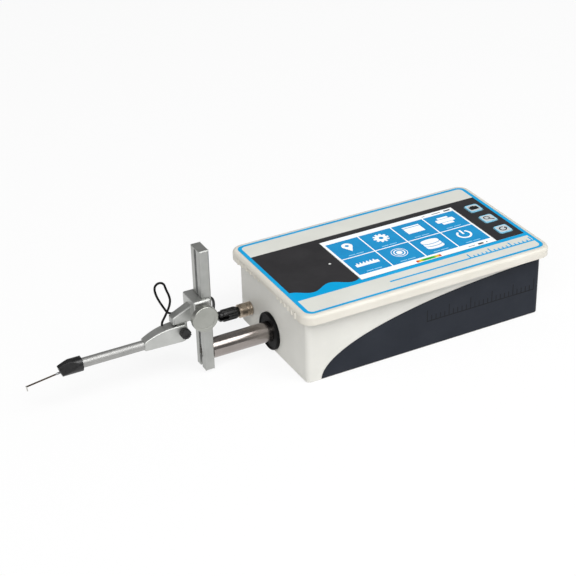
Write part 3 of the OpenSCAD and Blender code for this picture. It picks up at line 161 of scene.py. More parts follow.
# plastics, films and rubber: a patchy colour, uneven gloss and a fine grain, with depth and edge in metres
mouldedPlain = dict(patch=45, grain=2600, depth=0.00003, bump=0.25, edge=0, specular=0.5, coat=0,
    coatRough=0.12, glow=0)
printed = dict(rough=(0.4, 0.52), patch=25, grain=5000, depth=0.00001)
shown = dict(rough=(0.2, 0.26), bump=0.03)
mouldedLooks = {
    "caseShell": dict(dark=(207, 206, 200), light=(216, 215, 209), rough=(0.42, 0.55), edge=0.0005, patch=18),
    "caseLid": dict(dark=(208, 204, 193), light=(217, 213, 203), rough=(0.42, 0.55), edge=0.0004, patch=18),
    "sealRubber": dict(dark=(26, 26, 27), light=(36, 36, 37), rough=(0.6, 0.8)),
    "sideFilm": dict(dark=(31, 35, 43), light=(37, 41, 49), rough=(0.44, 0.56), patch=25, grain=4000,
        depth=0.00001, specular=0.15),
    "filmMark": dict(dark=(16, 18, 22), light=(21, 23, 27), rough=(0.42, 0.54), patch=60, specular=0.15),
    "panelFilm": dict(dark=(209, 210, 203), light=(216, 217, 210), specular=0.25, **printed),
    "darkPrint": dict(dark=(38, 37, 39), light=(46, 45, 47), specular=0.25, **printed),
    "bluePrint": dict(dark=(14, 152, 208), light=(24, 162, 218), specular=0.1, **printed),
    "brightPrint": dict(dark=(0, 154, 209), light=(4, 162, 217), specular=0.1, **printed),
    "screenWhite": dict(dark=(234, 236, 238), light=(242, 244, 245), glow=0.12, specular=0.3, **shown),
    "screenBlue": dict(dark=(8, 136, 194), light=(16, 146, 204), specular=0.3, **shown),
    "screenPale": dict(dark=(140, 202, 232), light=(152, 210, 238), specular=0.3, **shown),
    "screenGrey": dict(dark=(46, 48, 52), light=(62, 64, 68), **shown),
    "screenGlass": dict(dark=(58, 62, 66), light=(66, 70, 74), rough=(0.08, 0.14), coat=0.6, bump=0.02),
    "lampLens": dict(dark=(226, 228, 226), light=(240, 242, 240), rough=(0.15, 0.25), coat=0.5, bump=0.05),
    "keyCap": dict(dark=(124, 186, 214), light=(136, 196, 222), rough=(0.4, 0.52), specular=0.25,
        edge=0.0004),
    "keyGlow": dict(dark=(66, 112, 132), light=(76, 124, 144), rough=(0.4, 0.52), specular=0.2),
    "keyPad": dict(dark=(188, 194, 197), light=(198, 204, 207), rough=(0.34, 0.46), specular=0.3),
    "keyRing": dict(dark=(132, 204, 236), light=(148, 214, 242), rough=(0.34, 0.46), specular=0.3),
    "keySymbol": dict(dark=(16, 16, 18), light=(24, 24, 26), rough=(0.34, 0.46), specular=0.2),
    "flangeBlack": dict(dark=(9, 9, 10), light=(15, 15, 16), rough=(0.5, 0.62), edge=0.0004, patch=80,
        specular=0.12),
    "noseBlack": dict(dark=(12, 12, 13), light=(20, 20, 21), rough=(0.26, 0.38), edge=0.0004, patch=120),
    "plugBlack": dict(dark=(11, 11, 12), light=(19, 19, 20), rough=(0.3, 0.42), edge=0.0003, patch=120),
    "thumbBlack": dict(dark=(9, 9, 10), light=(16, 16, 17), rough=(0.36, 0.5), edge=0.0003, patch=120),
    "leadJacket": dict(dark=(6, 6, 6), light=(11, 11, 11), rough=(0.36, 0.48), patch=200, grain=5000,
        specular=0.15),
    "boardMask": dict(dark=(18, 78, 44), light=(26, 98, 56), rough=(0.35, 0.5), patch=150),
    "cellWrap": dict(dark=(46, 74, 128), light=(56, 88, 146), rough=(0.3, 0.42)),
    "socketBlack": dict(dark=(24, 24, 26), light=(34, 34, 36), rough=(0.35, 0.5), edge=0.0002),
    "motorPaint": dict(dark=(62, 64, 68), light=(76, 78, 82), rough=(0.35, 0.5)),
}


def mouldedFinish(name, look):
    look = mouldedPlain | look
    finish, tree, shader, coords = startFinish(name)
    tree.links.new(patchyColour(tree, coords, look), shader.inputs["Base Color"])
    gloss = noise(tree, coords, look["patch"] * texture["glossFiner"], detail=5)
    tree.links.new(spread(tree, gloss, *look["rough"]), shader.inputs["Roughness"])
    relief(tree, shader, noise(tree, coords, look["grain"], detail=2), look)
    shader.inputs["Specular IOR Level"].default_value = look["specular"]
    shader.inputs["Coat Weight"].default_value = look["coat"]
    shader.inputs["Coat Roughness"].default_value = look["coatRough"]
    if look["glow"]:
        shader.inputs["Emission Color"].default_value = tone(*look["light"])
        shader.inputs["Emission Strength"].default_value = look["glow"]
    return finish


# metals: fine streaks along one direction, with softened edges
metalPlain = dict(patch=60, grain=1500, streak=(1, 1, 1), depth=0.00002, bump=0.2, edge=0.0003)
metalLooks = {
    "columnMetal": dict(dark=(172, 173, 170), light=(186, 187, 184), rough=(0.46, 0.56),
        streak=(1, 1, 0.03), grain=2200, edge=0.0004, bump=0.12),
    "castMetal": dict(dark=(184, 185, 182), light=(198, 199, 196), rough=(0.44, 0.54),
        grain=1800, edge=0.0004, bump=0.15),
    "holderMetal": dict(dark=(190, 191, 188), light=(204, 205, 202), rough=(0.44, 0.54),
        streak=(0.08, 1, 1), grain=1800, edge=0.0004, bump=0.12),
    "tubeMetal": dict(dark=(166, 166, 164), light=(178, 178, 176), rough=(0.5, 0.58),
        streak=(0.05, 1, 1), grain=1600, edge=0, bump=0.03),
    "screwSteel": dict(dark=(140, 141, 142), light=(166, 167, 168), rough=(0.3, 0.42)),
    "darkSteel": dict(dark=(52, 50, 48), light=(72, 70, 66), rough=(0.3, 0.42)),
    "stylusSteel": dict(dark=(62, 52, 43), light=(86, 75, 64), rough=(0.24, 0.36), streak=(0.05, 1, 1)),
    "tipSteel": dict(dark=(196, 195, 190), light=(214, 213, 208), rough=(0.2, 0.32)),
    "bronzeBush": dict(dark=(168, 126, 66), light=(190, 146, 82), rough=(0.25, 0.38)),
    "coilCopper": dict(dark=(150, 84, 48), light=(176, 104, 62), rough=(0.3, 0.4), streak=(6, 0.2, 0.2)),
    "goldContact": dict(dark=(206, 166, 84), light=(222, 184, 100), rough=(0.2, 0.3)),
    "nickelRing": dict(dark=(168, 154, 138), light=(188, 175, 159), rough=(0.26, 0.36),
        streak=(1, 0.03, 0.03), bump=0.12),
}


def metalFinish(name, look):
    look = metalPlain | look
    finish, tree, shader, coords = startFinish(name)
    shader.inputs["Metallic"].default_value = 1
    tree.links.new(patchyColour(tree, coords, look), shader.inputs["Base Color"])
    streaks = noise(tree, stretched(tree, coords, look["streak"]), look["grain"], detail=4)
    tree.links.new(spread(tree, streaks, *look["rough"]), shader.inputs["Roughness"])
    relief(tree, shader, streaks, look)
    return finish


# ground shaft: bright round side, and a duller turned end that begins between the two depths of endDeep
shaft = dict(dark=(150, 143, 139), light=(162, 155, 151), rough=(0.14, 0.2), patch=60, grain=3000,
    streak=(1, 0.04, 0.04), depth=0.00002, bump=0.04, edge=0.0003, stretch=0.9, turn=0.25,
    end=(158, 159, 156), endRough=0.42, endDeep=(0.0009, 0.0011))


def shaftFinish(name):
    finish, tree, shader, coords = startFinish(name)
    shader.inputs["Metallic"].default_value = 1
    shader.inputs["Anisotropic"].default_value = shaft["stretch"]
    shader.inputs["Anisotropic Rotation"].default_value = shaft["turn"]
    turned = node(tree, "ShaderNodeTangent", direction_type="RADIAL", axis="X")
    tree.links.new(turned.outputs["Tangent"], shader.inputs["Tangent"])
    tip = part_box("drive_shaft")[0][0]
    along = node(tree, "ShaderNodeSeparateXYZ")
    tree.links.new(coords, along.inputs["Vector"])
    end = node(tree, "ShaderNodeMapRange")
    end.inputs["From Min"].default_value = tip + shaft["endDeep"][1]
    end.inputs["From Max"].default_value = tip + shaft["endDeep"][0]
    tree.links.new(along.outputs["X"], end.inputs["Value"])
    colour = node(tree, "ShaderNodeMix", data_type="RGBA")
    tree.links.new(end.outputs["Result"], colour.inputs["Factor"])
    tree.links.new(patchyColour(tree, coords, shaft), colour.inputs["A"])
    colour.inputs["B"].default_value = tone(*shaft["end"])
    tree.links.new(colour.outputs["Result"], shader.inputs["Base Color"])
    streaks = noise(tree, stretched(tree, coords, shaft["streak"]), shaft["grain"], detail=4)
    rough = node(tree, "ShaderNodeMix", data_type="FLOAT")
    tree.links.new(end.outputs["Result"], rough.inputs["Factor"])
    tree.links.new(spread(tree, streaks, *shaft["rough"]), rough.inputs["A"])
    rough.inputs["B"].default_value = shaft["endRough"]
    tree.links.new(rough.outputs["Result"], shader.inputs["Roughness"])
    relief(tree, shader, streaks, shaft)
    return finish


# turned knob: rings about its axis, with its centre in metres
knob = dict(dark=(160, 161, 155), light=(174, 175, 169), rough=(0.28, 0.4), patch=60, gloss=900, axis="Y",
    pitch=900, waver=0.4, waverDetail=2, centre=(-0.2106, 0.004, 0.068), depth=0.00001, bump=0.25,
    edge=0.0003)


def knobFinish(name):
    finish, tree, shader, coords = startFinish(name)
    shader.inputs["Metallic"].default_value = 1
    tree.links.new(patchyColour(tree, coords, knob), shader.inputs["Base Color"])
    rings = node(tree, "ShaderNodeTexWave", wave_type="RINGS", rings_direction=knob["axis"])
    rings.inputs["Scale"].default_value = knob["pitch"]
    rings.inputs["Distortion"].default_value = knob["waver"]
    rings.inputs["Detail"].default_value = knob["waverDetail"]
    tree.links.new(stretched(tree, coords, centre=knob["centre"]), rings.inputs["Vector"])
    gloss = noise(tree, coords, knob["gloss"])
    tree.links.new(spread(tree, gloss, *knob["rough"]), shader.inputs["Roughness"])
    relief(tree, shader, rings.outputs["Fac"], knob)
    return finish


finishes = {name: mouldedFinish(name, look) for name, look in mouldedLooks.items()}
finishes |= {name: metalFinish(name, look) for name, look in metalLooks.items()}
finishes |= {"groundSteel": shaftFinish("groundSteel"), "knobMetal": knobFinish("knobMetal")}
wearers = {
    "caseShell": ["base_shell"], "caseLid": ["lid"], "sideFilm": ["side_foil"],
    "panelFilm": ["front_overlay"], "screenGlass": ["touch_glass"], "lampLens": ["status_lens"],
    "keyCap": ["key_rear", "key_middle", "key_front"],
    "sealRubber": ["lid_gasket", "shaft_seal", "cable_grommet"], "flangeBlack": ["shaft_flange"],
    "noseBlack": ["nose_cap"], "plugBlack": ["plug_backshell"], "thumbBlack": ["thumb_knob"],
    "boardMask": ["main_board", "keypad_board"], "cellWrap": ["battery_pack"],
    "socketBlack": ["charge_socket", "end_switches"], "motorPaint": ["drive_motor", "display_module"],
    "columnMetal": ["column", "drive_frame", "traveller"], "castMetal": ["carriage"],
    "holderMetal": ["probe_holder"], "tubeMetal": ["pickup_tube"], "groundSteel": ["drive_shaft"],
    "screwSteel": ["lid_screws", "panel_screws", "board_screws", "frame_screws", "key_domes", "lead_screw",
        "screw_coupling", "output_shaft", "pinion_shaft", "thumb_stud", "pivot_pin", "height_rack", "gearbox",
        "data_socket", "stylus_ferrule"],
    "darkSteel": ["clamp_screw"], "stylusSteel": ["stylus_lever"], "tipSteel": ["stylus_tip"],
    "bronzeBush": ["front_bush", "rear_bush", "drive_nut", "height_pinion"], "coilCopper": ["pickup_coil"],
    "knobMetal": ["height_knob"], "nickelRing": ["plug_ring", "probe_socket"],
    "leadJacket": ["cable_plug_run", "cable_carriage_run", "cable_pickup_run"],
}
for finishName, wearing in wearers.items():
    for name in wearing:
        nodes[name].data.materials.clear()
        nodes[name].data.materials.append(finishes[finishName])
print("finishes on", sum(len(w) for w in wearers.values()), "nodes")


def addPiece(name, mesh, finish, body):
    mesh.materials.append(finishes[finish])
    piece = bpy.data.objects.new(name, mesh)
    bpy.context.scene.collection.objects.link(piece)
    if body:
        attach(piece, body)
    return piece


# pick-up lead: the route of the solids from the plug to the holder, in millimetres
lead = dict(
    route=[(-160, 47.5, 22.7), (-165, 47.5, 22.7), (-169.5, 47.5, 23.2), (-172.8, 46.4, 28.5),
        (-174.3, 43.3, 37), (-176.3, 38, 45), (-179, 32.7, 52.2), (-182.5, 27.8, 58.3), (-186.5, 24.3, 62.3),
        (-192, 22.6, 64),
        (-199, 22, 63.5), (-206, 21.8, 61.8), (-213, 21.6, 60), (-220, 21.2, 58.8), (-227, 20, 59.2),
        (-233, 18, 63),
        (-236.5, 17, 69), (-240, 16.5, 76), (-243, 16, 83), (-244.6, 15.7, 88.4), (-245.2, 15.5, 92.4),
        (-244.5, 15.3, 95.8), (-242, 15.1, 98), (-238.6, 14.8, 98), (-236, 14.5, 95.8), (-234.9, 14.2, 92.2),
        (-233.8, 13.7, 88.2), (-232.5, 13, 84), (-231.9, 12.3, 78.6),
        (-233.2, 12, 73.1), (-236, 11.2, 68.3), (-239.6, 10, 63.6), (-242.4, 8.9, 60.4), (-243.3, 8.4, 57.8)],
    runs=[("leadPlugRun", 0, 9, 2.9, "housing", "traverse", "cable_plug_run"),
        ("leadCarriageRun", 9, 15, 2.2, "traverse", "height_carriage", "cable_carriage_run"),
        ("leadPickupRun", 15, 33, 2.2, "height_carriage", "pickup", "cable_pickup_run")],
    bends=[((-170, 47.5, 23.2), (-188, 24, 63)), ((-195, 22.5, 64), (-229, 19, 61)),
        ((-232.5, 13, 80), (-241, 9.5, 62))],
    steps=8, sides=18)


# smooth curve through the route, between points i and i + 1
def splinePoint(points, i, t):
    a, b = points[max(i - 1, 0)], points[i]
    c, d = points[i + 1], points[min(i + 2, len(points) - 1)]
    return 0.5 * (2 * b + (c - a) * t + (2 * a - 5 * b + 4 * c - d) * t * t
        + (3 * b - a - 3 * c + d) * t ** 3)


def leadPath(first, last):
    points = [Vector(p) * mm for p in lead["route"]]
    steps = lead["steps"]
    path = [splinePoint(points, i, j / steps) for i in range(first, last) for j in range(steps)]
    return path + [points[last]]


def tubeMesh(name, path, diameter, sides):
    bm = bmesh.new()
    rings = []
    last = len(path) - 1
    turns = [2 * math.pi * k / sides for k in range(sides)]
    side = None
    for i, centre in enumerate(path):
        along = (path[min(i + 1, last)] - path[max(i - 1, 0)]).normalized()
        side = Vector((0, 1, 0)).cross(along) if side is None else side - along * side.dot(along)
        side.normalize()
        other = along.cross(side)
        rings.append([bm.verts.new(centre + diameter / 2 * (math.cos(a) * side + math.sin(a) * other))
            for a in turns])
    for low, high in zip(rings, rings[1:]):
        for k in range(sides):
            bm.faces.new((low[k], low[(k + 1) % sides], high[(k + 1) % sides], high[k]))
    bm.faces.new(rings[0][::-1])
    bm.faces.new(rings[-1])
    for face in bm.faces:
        face.smooth = len(face.verts) == 4
    mesh = bpy.data.meshes.new(name)
    bm.to_mesh(mesh)
    bm.free()
    return mesh


def makeLead():
    for run, (start, end) in zip(lead["runs"], lead["bends"]):
        name, first, last, diameter, fromBody, toBody, solid = run
        path = leadPath(first, last)
        mesh = tubeMesh(name, path, diameter * mm, lead["sides"])
        piece = addPiece(name, mesh, "leadJacket", None)
        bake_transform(piece)
        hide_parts(solid)


makeLead()
print("lead laid in", len(lead["runs"]), "runs")

# carriage, holder and column: their solids with the edges rounded, on the column the outer ones alone
# and on the castings all but those of bores and of the column's passage
# sharp and flat are in degrees, bore in radians, facet in square millimetres and the rest in millimetres
rounded = dict(pieces=[("carriageBody", "carriage", "height_carriage", "castMetal", 1.4, False),
    ("holderBody", "probe_holder", "pickup", "holderMetal", 1.4, False),
    ("columnBar", "column", "traverse", "columnMetal", 1.2, True)],
    steps=4, profile=0.5, sharp=40, flat=1, merge=0.001, near=0.05, facet=3, passage=0.8, bore=(-0.5, -0.02))


def middleOf(edge):
    return (edge.verts[0].co + edge.verts[1].co) / 2


def onRim(edge, low, high):
    middle = middleOf(edge)
    near = rounded["near"] * mm
    return sum(min(abs(middle[k] - low[k]), abs(middle[k] - high[k])) < near for k in range(3)) > 1


def inPassage(edge):
    low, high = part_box("column")
    middle = middleOf(edge)
    room = rounded["passage"] * mm
    return all(low[k] - room < middle[k] < high[k] + room for k in range(2))


def ofBore(edge):
    low, high = rounded["bore"]
    return any(low < side.calc_face_angle_signed(0) < high for face in edge.link_faces for side in face.edges)


def makeRounded():
    for name, solid, body, finish, width, rimOnly in rounded["pieces"]:
        low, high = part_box(solid)
        bm = bmesh.new()
        bm.from_mesh(nodes[solid].data)
        bmesh.ops.remove_doubles(bm, verts=bm.verts[:], dist=rounded["merge"] * mm)
        bmesh.ops.dissolve_limit(bm, angle_limit=math.radians(rounded["flat"]), verts=bm.verts[:],
            edges=bm.edges[:])
        for face in bm.faces:
            face.smooth = face.calc_area() < rounded["facet"] * mm * mm
        edges = [e for e in bm.edges if e.calc_face_angle_signed(0) > math.radians(rounded["sharp"])
            and (onRim(e, low, high) if rimOnly else not (inPassage(e) or ofBore(e)))]
        made = bmesh.ops.bevel(bm, geom=edges, offset=width * mm, offset_type="OFFSET",
            segments=rounded["steps"], profile=rounded["profile"], affect="EDGES", clamp_overlap=False)
        for face in made["faces"]:
            face.smooth = True
        mesh = bpy.data.meshes.new(name)
        bm.to_mesh(mesh)
        bm.free()
        piece = addPiece(name, mesh, finish, body)
        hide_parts(solid)
        print(name, len(edges), "edges rounded,", len(mesh.polygons), "faces")


makeRounded()

# flat shapes for the prints, in millimetres
prints = dict(thick=0.03, merge=0.0001)


def roundRect(x, y, w, h, r, steps=6):
    points = []
    for k, (sx, sy) in enumerate(((1, 1), (-1, 1), (-1, -1), (1, -1))):
        for i in range(steps + 1):
            a = math.radians(90 * k + 90 * i / steps)
            points.append((x + sx * (w / 2 - r) + r * math.cos(a), y + sy * (h / 2 - r) + r * math.sin(a)))
    return points


def roundSquare(x, y, side, r):
    return roundRect(x, y, side, side, r)


def disc(x, y, r, steps=28):
    turns = [2 * math.pi * i / steps for i in range(steps)]
    return [(x + r * math.cos(a), y + r * math.sin(a)) for a in turns]


def between(outer, inner):
    n = len(outer)
    return [[outer[i], outer[(i + 1) % n], inner[(i + 1) % n], inner[i]] for i in range(n)]


def arcBand(x, y, r0, r1, a0, a1, steps=28):
    turns = [math.radians(a0 + (a1 - a0) * i / steps) for i in range(steps + 1)]
    outer = [(x + r1 * math.cos(a), y + r1 * math.sin(a)) for a in turns]
    inner = [(x + r0 * math.cos(a), y + r0 * math.sin(a)) for a in turns]
    return [[outer[i], outer[i + 1], inner[i + 1], inner[i]] for i in range(steps)]


def box2d(x0, y0, x1, y1):
    return [(x0, y0), (x1, y0), (x1, y1), (x0, y1)]


def enlarged(shapes, x, y, k):
    return [[(x + k * (u - x), y + k * (v - y)) for u, v in shape] for shape in shapes]


def printMesh(name, shapes, z, thick):
    bm = bmesh.new()
    for shape in shapes:
        bm.faces.new([bm.verts.new((x * mm, y * mm, z * mm)) for x, y in shape])
    bmesh.ops.remove_doubles(bm, verts=bm.verts[:], dist=prints["merge"] * mm)
    lifted = bmesh.ops.extrude_face_region(bm, geom=bm.faces[:], use_keep_orig=True)
    raised = [g for g in lifted["geom"] if isinstance(g, bmesh.types.BMVert)]
    bmesh.ops.translate(bm, verts=raised, vec=(0, 0, thick * mm))
    bmesh.ops.recalc_face_normals(bm, faces=bm.faces[:])
    mesh = bpy.data.meshes.new(name)
    bm.to_mesh(mesh)
    bm.free()
    return mesh


def addPrint(name, shapes, z, finish, body="housing", thick=prints["thick"]):
    return addPiece(name, printMesh(name, shapes, z, thick), finish, body)


# repeated small bars in a straight row
def rowTree(name, finish):
    tree = bpy.data.node_groups.new(name, "GeometryNodeTree")
    tree.interface.new_socket("Geometry", in_out="OUTPUT", socket_type="NodeSocketGeometry")
    kinds = {"Count": "NodeSocketInt", "Start": "NodeSocketVector", "Step": "NodeSocketVector",
        "Size": "NodeSocketVector"}
    sockets = {key: tree.interface.new_socket(key, in_out="INPUT", socket_type=kind)
        for key, kind in kinds.items()}
    given = node(tree, "NodeGroupInput")
    line = node(tree, "GeometryNodeMeshLine", mode="OFFSET")
    bar = node(tree, "GeometryNodeMeshCube")
    spots = node(tree, "GeometryNodeInstanceOnPoints")
    real = node(tree, "GeometryNodeRealizeInstances")
    paint = node(tree, "GeometryNodeSetMaterial")
    paint.inputs["Material"].default_value = finish
    done = node(tree, "NodeGroupOutput")
    wire = tree.links.new
    wire(given.outputs["Count"], line.inputs["Count"])
    wire(given.outputs["Start"], line.inputs["Start Location"])
    wire(given.outputs["Step"], line.inputs["Offset"])
    wire(given.outputs["Size"], bar.inputs["Size"])
    wire(line.outputs["Mesh"], spots.inputs["Points"])
    wire(bar.outputs["Mesh"], spots.inputs["Instance"])
    wire(spots.outputs["Instances"], real.inputs["Geometry"])
    wire(real.outputs["Geometry"], paint.inputs["Geometry"])
    wire(paint.outputs["Geometry"], done.inputs["Geometry"])
    return tree, sockets


def grown(name, treeAndSockets, values):
    tree, sockets = treeAndSockets
    carrier = bpy.data.objects.new(name + "Carrier", bpy.data.meshes.new(name + "Carrier"))
    bpy.context.scene.collection.objects.link(carrier)
    modifier = carrier.modifiers.new("grow", "NODES")
    modifier.node_group = tree
    for key, value in values.items():
        modifier[sockets[key].identifier] = value
    bpy.context.view_layer.update()
    mesh = bpy.data.meshes.new_from_object(carrier.evaluated_get(bpy.context.evaluated_depsgraph_get()))
    carrier.modifiers.remove(modifier)
    bpy.data.objects.remove(carrier)
    mesh.name = name
    mesh.materials.clear()
    return mesh


# printed panel: a dark field with a waved front edge, blue fields, a border and a line
panel = dict(top=78.2, border=(266.6, 150.6, 8), field=(-129.2, -72.3, 129.7, 72, 5), cornerSteps=10,
    borderThick=0.025, dark=(-129.2, -43.3, 129.7, 48.7), darkLift=0.02, screen=(-57.6, -43.4, 97.6, 41.2),
    waveLevel=-36, waveSwing=4.5, waveHalves=3.4, waveFall=2, waveSteps=(40, 4, 8),
    strip=-48.6, blueTop=-28, blueThick=0.02, lineY=-60, lineX=(-36, 129.7), lineW=2.2,
    keyX=116.5, keyY=0.35, keyPitch=26.3, keyHole=16.2, keyCorner=2.8,
    lamp=(-68.5, -1), lampRoom=3, lampHole=1.4)


def waveEdge(x):
    t = (x - panel["dark"][0]) / (panel["screen"][0] - panel["dark"][0])
    swing = panel["waveSwing"] * math.cos(panel["waveHalves"] * math.pi * t)
    return panel["waveLevel"] + swing - panel["waveFall"] * t


def waveBand(x0, x1, top, steps):
    across = [x0 + (x1 - x0) * i / steps for i in range(steps + 1)]
    return [(x, waveEdge(x)) for x in across] + [(x1, top), (x0, top)]


def makePanel():
    x0, y0, x1, y1 = panel["dark"]
    sx0, sy0, sx1, sy1 = panel["screen"]
    top, cell, room = panel["top"], panel["keyPitch"], panel["lampRoom"]
    lx, ly = panel["lamp"]
    left, under, right = panel["waveSteps"]
    dark = [waveBand(x0, lx - room, y1, left), waveBand(lx - room, lx + room, ly - room, under),
        waveBand(lx + room, sx0, y1, right), box2d(lx - room, ly + room, lx + room, y1),
        box2d(sx0, sy1, sx1, y1)]
    dark += between(roundSquare(lx, ly, 2 * room, 0), disc(lx, ly, panel["lampHole"]))
    for row in (-1, 0, 1):
        y = panel["keyY"] + row * cell
        dark += between(roundRect((sx1 + x1) / 2, y, x1 - sx1, cell, 0),
            roundSquare(panel["keyX"], y, panel["keyHole"], panel["keyCorner"]))
    reach = 1.5 * cell  # half of the three cells
    dark += [box2d(sx1, panel["keyY"] + reach, x1, y1), box2d(sx1, y0, x1, panel["keyY"] - reach)]
    addPrint("darkField", dark, top + panel["darkLift"], "darkPrint")
    addPrint("blueField", [box2d(x0, panel["strip"], sx0, panel["blueTop"])], top, "brightPrint",
        thick=panel["blueThick"])
    addPrint("blueStrip", [box2d(sx0, panel["strip"], x1, sy0)], top, "bluePrint")
    w, h, r = panel["border"]
    fx0, fy0, fx1, fy1, inner = panel["field"]
    outline = roundRect(0, 0, w, h, r, panel["cornerSteps"])
    opening = roundRect((fx0 + fx1) / 2, (fy0 + fy1) / 2, fx1 - fx0, fy1 - fy0, inner, panel["cornerSteps"])
    addPrint("blueBorder", between(outline, opening), top, "bluePrint", thick=panel["borderThick"])
    a, b = panel["lineX"]
    half = panel["lineW"] / 2
    addPrint("panelLine", [box2d(a, panel["lineY"] - half, b, panel["lineY"] + half)], top, "bluePrint")


# ruled scale that stands on the panel's line, its long ticks on every fifth short one
ruled = dict(count=16, pitch=4.8, start=56, short=2.9, long=4, width=1.5, every=5, lift=0.015, thick=0.03)


def makeScale():
    tree = rowTree("ruledRow", finishes["bluePrint"])
    z = (panel["top"] + ruled["lift"]) * mm
    foot = panel["lineY"] + panel["lineW"] / 2
    rows = (("scaleShort", 1, foot, ruled["short"]),
        ("scaleLong", ruled["every"], foot + ruled["short"], ruled["long"]))
    for name, step, low, length in rows:
        mesh = grown(name, tree, {"Count": (ruled["count"] - 1) // step + 1,
            "Start": (ruled["start"] * mm, (low + length / 2) * mm, z),
            "Step": (ruled["pitch"] * step * mm, 0, 0),
            "Size": (ruled["width"] * mm, length * mm, ruled["thick"] * mm)})
        addPiece(name, mesh, "bluePrint", "housing")


# fine ruled marks on the front of the side film: long ticks, short ticks and their line
filmed = dict(floor=28, lift=0.01, thick=0.04, rows=[
    dict(count=6, x=0, foot=6.5, tall=6.5, pitch=25, wide=0.9),
    dict(count=26, x=0, foot=1, tall=5.5, pitch=5, wide=0.9),
    dict(count=1, x=62.5, foot=0, tall=1, pitch=1, wide=126)])


def makeFilmMarks():
    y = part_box("side_foil")[0][1] - filmed["lift"] * mm
    tree = rowTree("filmRow", finishes["filmMark"])
    for k, row in enumerate(filmed["rows"]):
        name = "filmTicks%d" % k
        middle = filmed["floor"] + row["foot"] + row["tall"] / 2
        mesh = grown(name, tree, {"Count": row["count"], "Start": (row["x"] * mm, y, middle * mm),
            "Step": (row["pitch"] * mm, 0, 0),
            "Size": (row["wide"] * mm, filmed["thick"] * mm, row["tall"] * mm)})
        addPiece(name, mesh, "filmMark", "housing")


makePanel()
makeScale()
makeFilmMarks()
print("panel and film printed")

# screen: tiles, symbols and bars on the glass
screen = dict(inset=0.5, left=-54.6, right=95.4, top=33.6, bottom=-34.8, gap=1.4, thick=0.02, tileLift=0.03,
    symbolLift=0.05, symbol=1.22, symbolUp=0.58, caption=[(0.27, 0.47), (0.5, 0.73)], captionY=(2.8, 3.9),
    bars=[(60, 36.6, 63.5, 37.4), (72, 36.4, 82, 37.6), (86.5, 36, 94, 38.4), (66, -40.2, 74, -39.4)],
    cell=(80.5, -39.8, 6.4, 2.8, 0.6), dot=(87.6, -39.8, 0.9))


# symbols, each drawn about its middle
def symbolPin(x, y):
    up, r, hole, tip = 2, 4.6, 1.7, -7.5
    start, sweep, steps = -35, 250, 24
    turns = [math.radians(start + sweep * i / steps) for i in range(steps + 1)]
    rim = [(x + r * math.cos(a), y + up + r * math.sin(a)) for a in turns] + [(x, y + tip)]
    inside = [(x + hole * math.cos(a), y + up + hole * math.sin(a)) for a in turns] + [(x, y + up - hole)]
    return between(rim, inside)


def symbolGear(x, y):
    teeth, r, hole, steps = 10, 5.2, 2, 40
    corners = ((4.9, -1.3), (6.9, -0.9), (6.9, 0.9), (4.9, 1.3))
    shapes = between(disc(x, y, r, steps), disc(x, y, hole, steps))
    for i in range(teeth):
        a = 2 * math.pi * i / teeth
        c, s = math.cos(a), math.sin(a)
        shapes.append([(x + u * c - v * s, y + u * s + v * c) for u, v in corners])
    return shapes


def symbolWindow(x, y):
    return [box2d(x - 8, y - 6, x + 8, y + 3.4), box2d(x - 8, y + 4.2, x + 8, y + 6)]


def symbolPrinter(x, y):
    sheets = [box2d(x - 5, y + 3.2, x + 5, y + 6), box2d(x - 5.2, y - 6.4, x + 5.2, y - 3.2)]
    return sheets + [roundRect(x, y, 17, 5.4, 1.2)]


def symbolRuler(x, y):
    notches = [box2d(x - 8.6 + 3 * i, y - 0.6, x - 7.4 + 3 * i, y + 1.4) for i in range(6)]
    return [box2d(x - 10.4, y - 4.4, x + 10.4, y - 0.6)] + notches


def symbolTarget(x, y):
    rings = between(disc(x, y, 5), disc(x, y, 4)) + between(disc(x, y, 7), disc(x, y, 6.4))
    return [disc(x, y, 2.6)] + rings


def symbolDrum(x, y):
    half, sag, steps = 8, 2.4, 16
    across = [2 * i / steps - 1 for i in range(steps + 1)]
    drop = [sag * math.sqrt(1 - u * u) for u in across]
    layers = []
    for low, high, lift in ((-6.2, -2.7, -1), (-1.9, 1.6, -1), (2.4, 5, 1)):
        bottom = [(x + half * u, y + low - d) for u, d in zip(across, drop)]
        layers.append(bottom + [(x + half * u, y + high + lift * d) for u, d in zip(across[::-1], drop)])
    return layers


def symbolPower(x, y):
    return arcBand(x, y, 4.8, 6.6, 122, 418) + [box2d(x - 0.9, y + 0.6, x + 0.9, y + 7.6)]


def addShown(name, shapes, lift, finish):
    addPrint(name, shapes, panel["top"] + lift, finish, thick=screen["thick"])


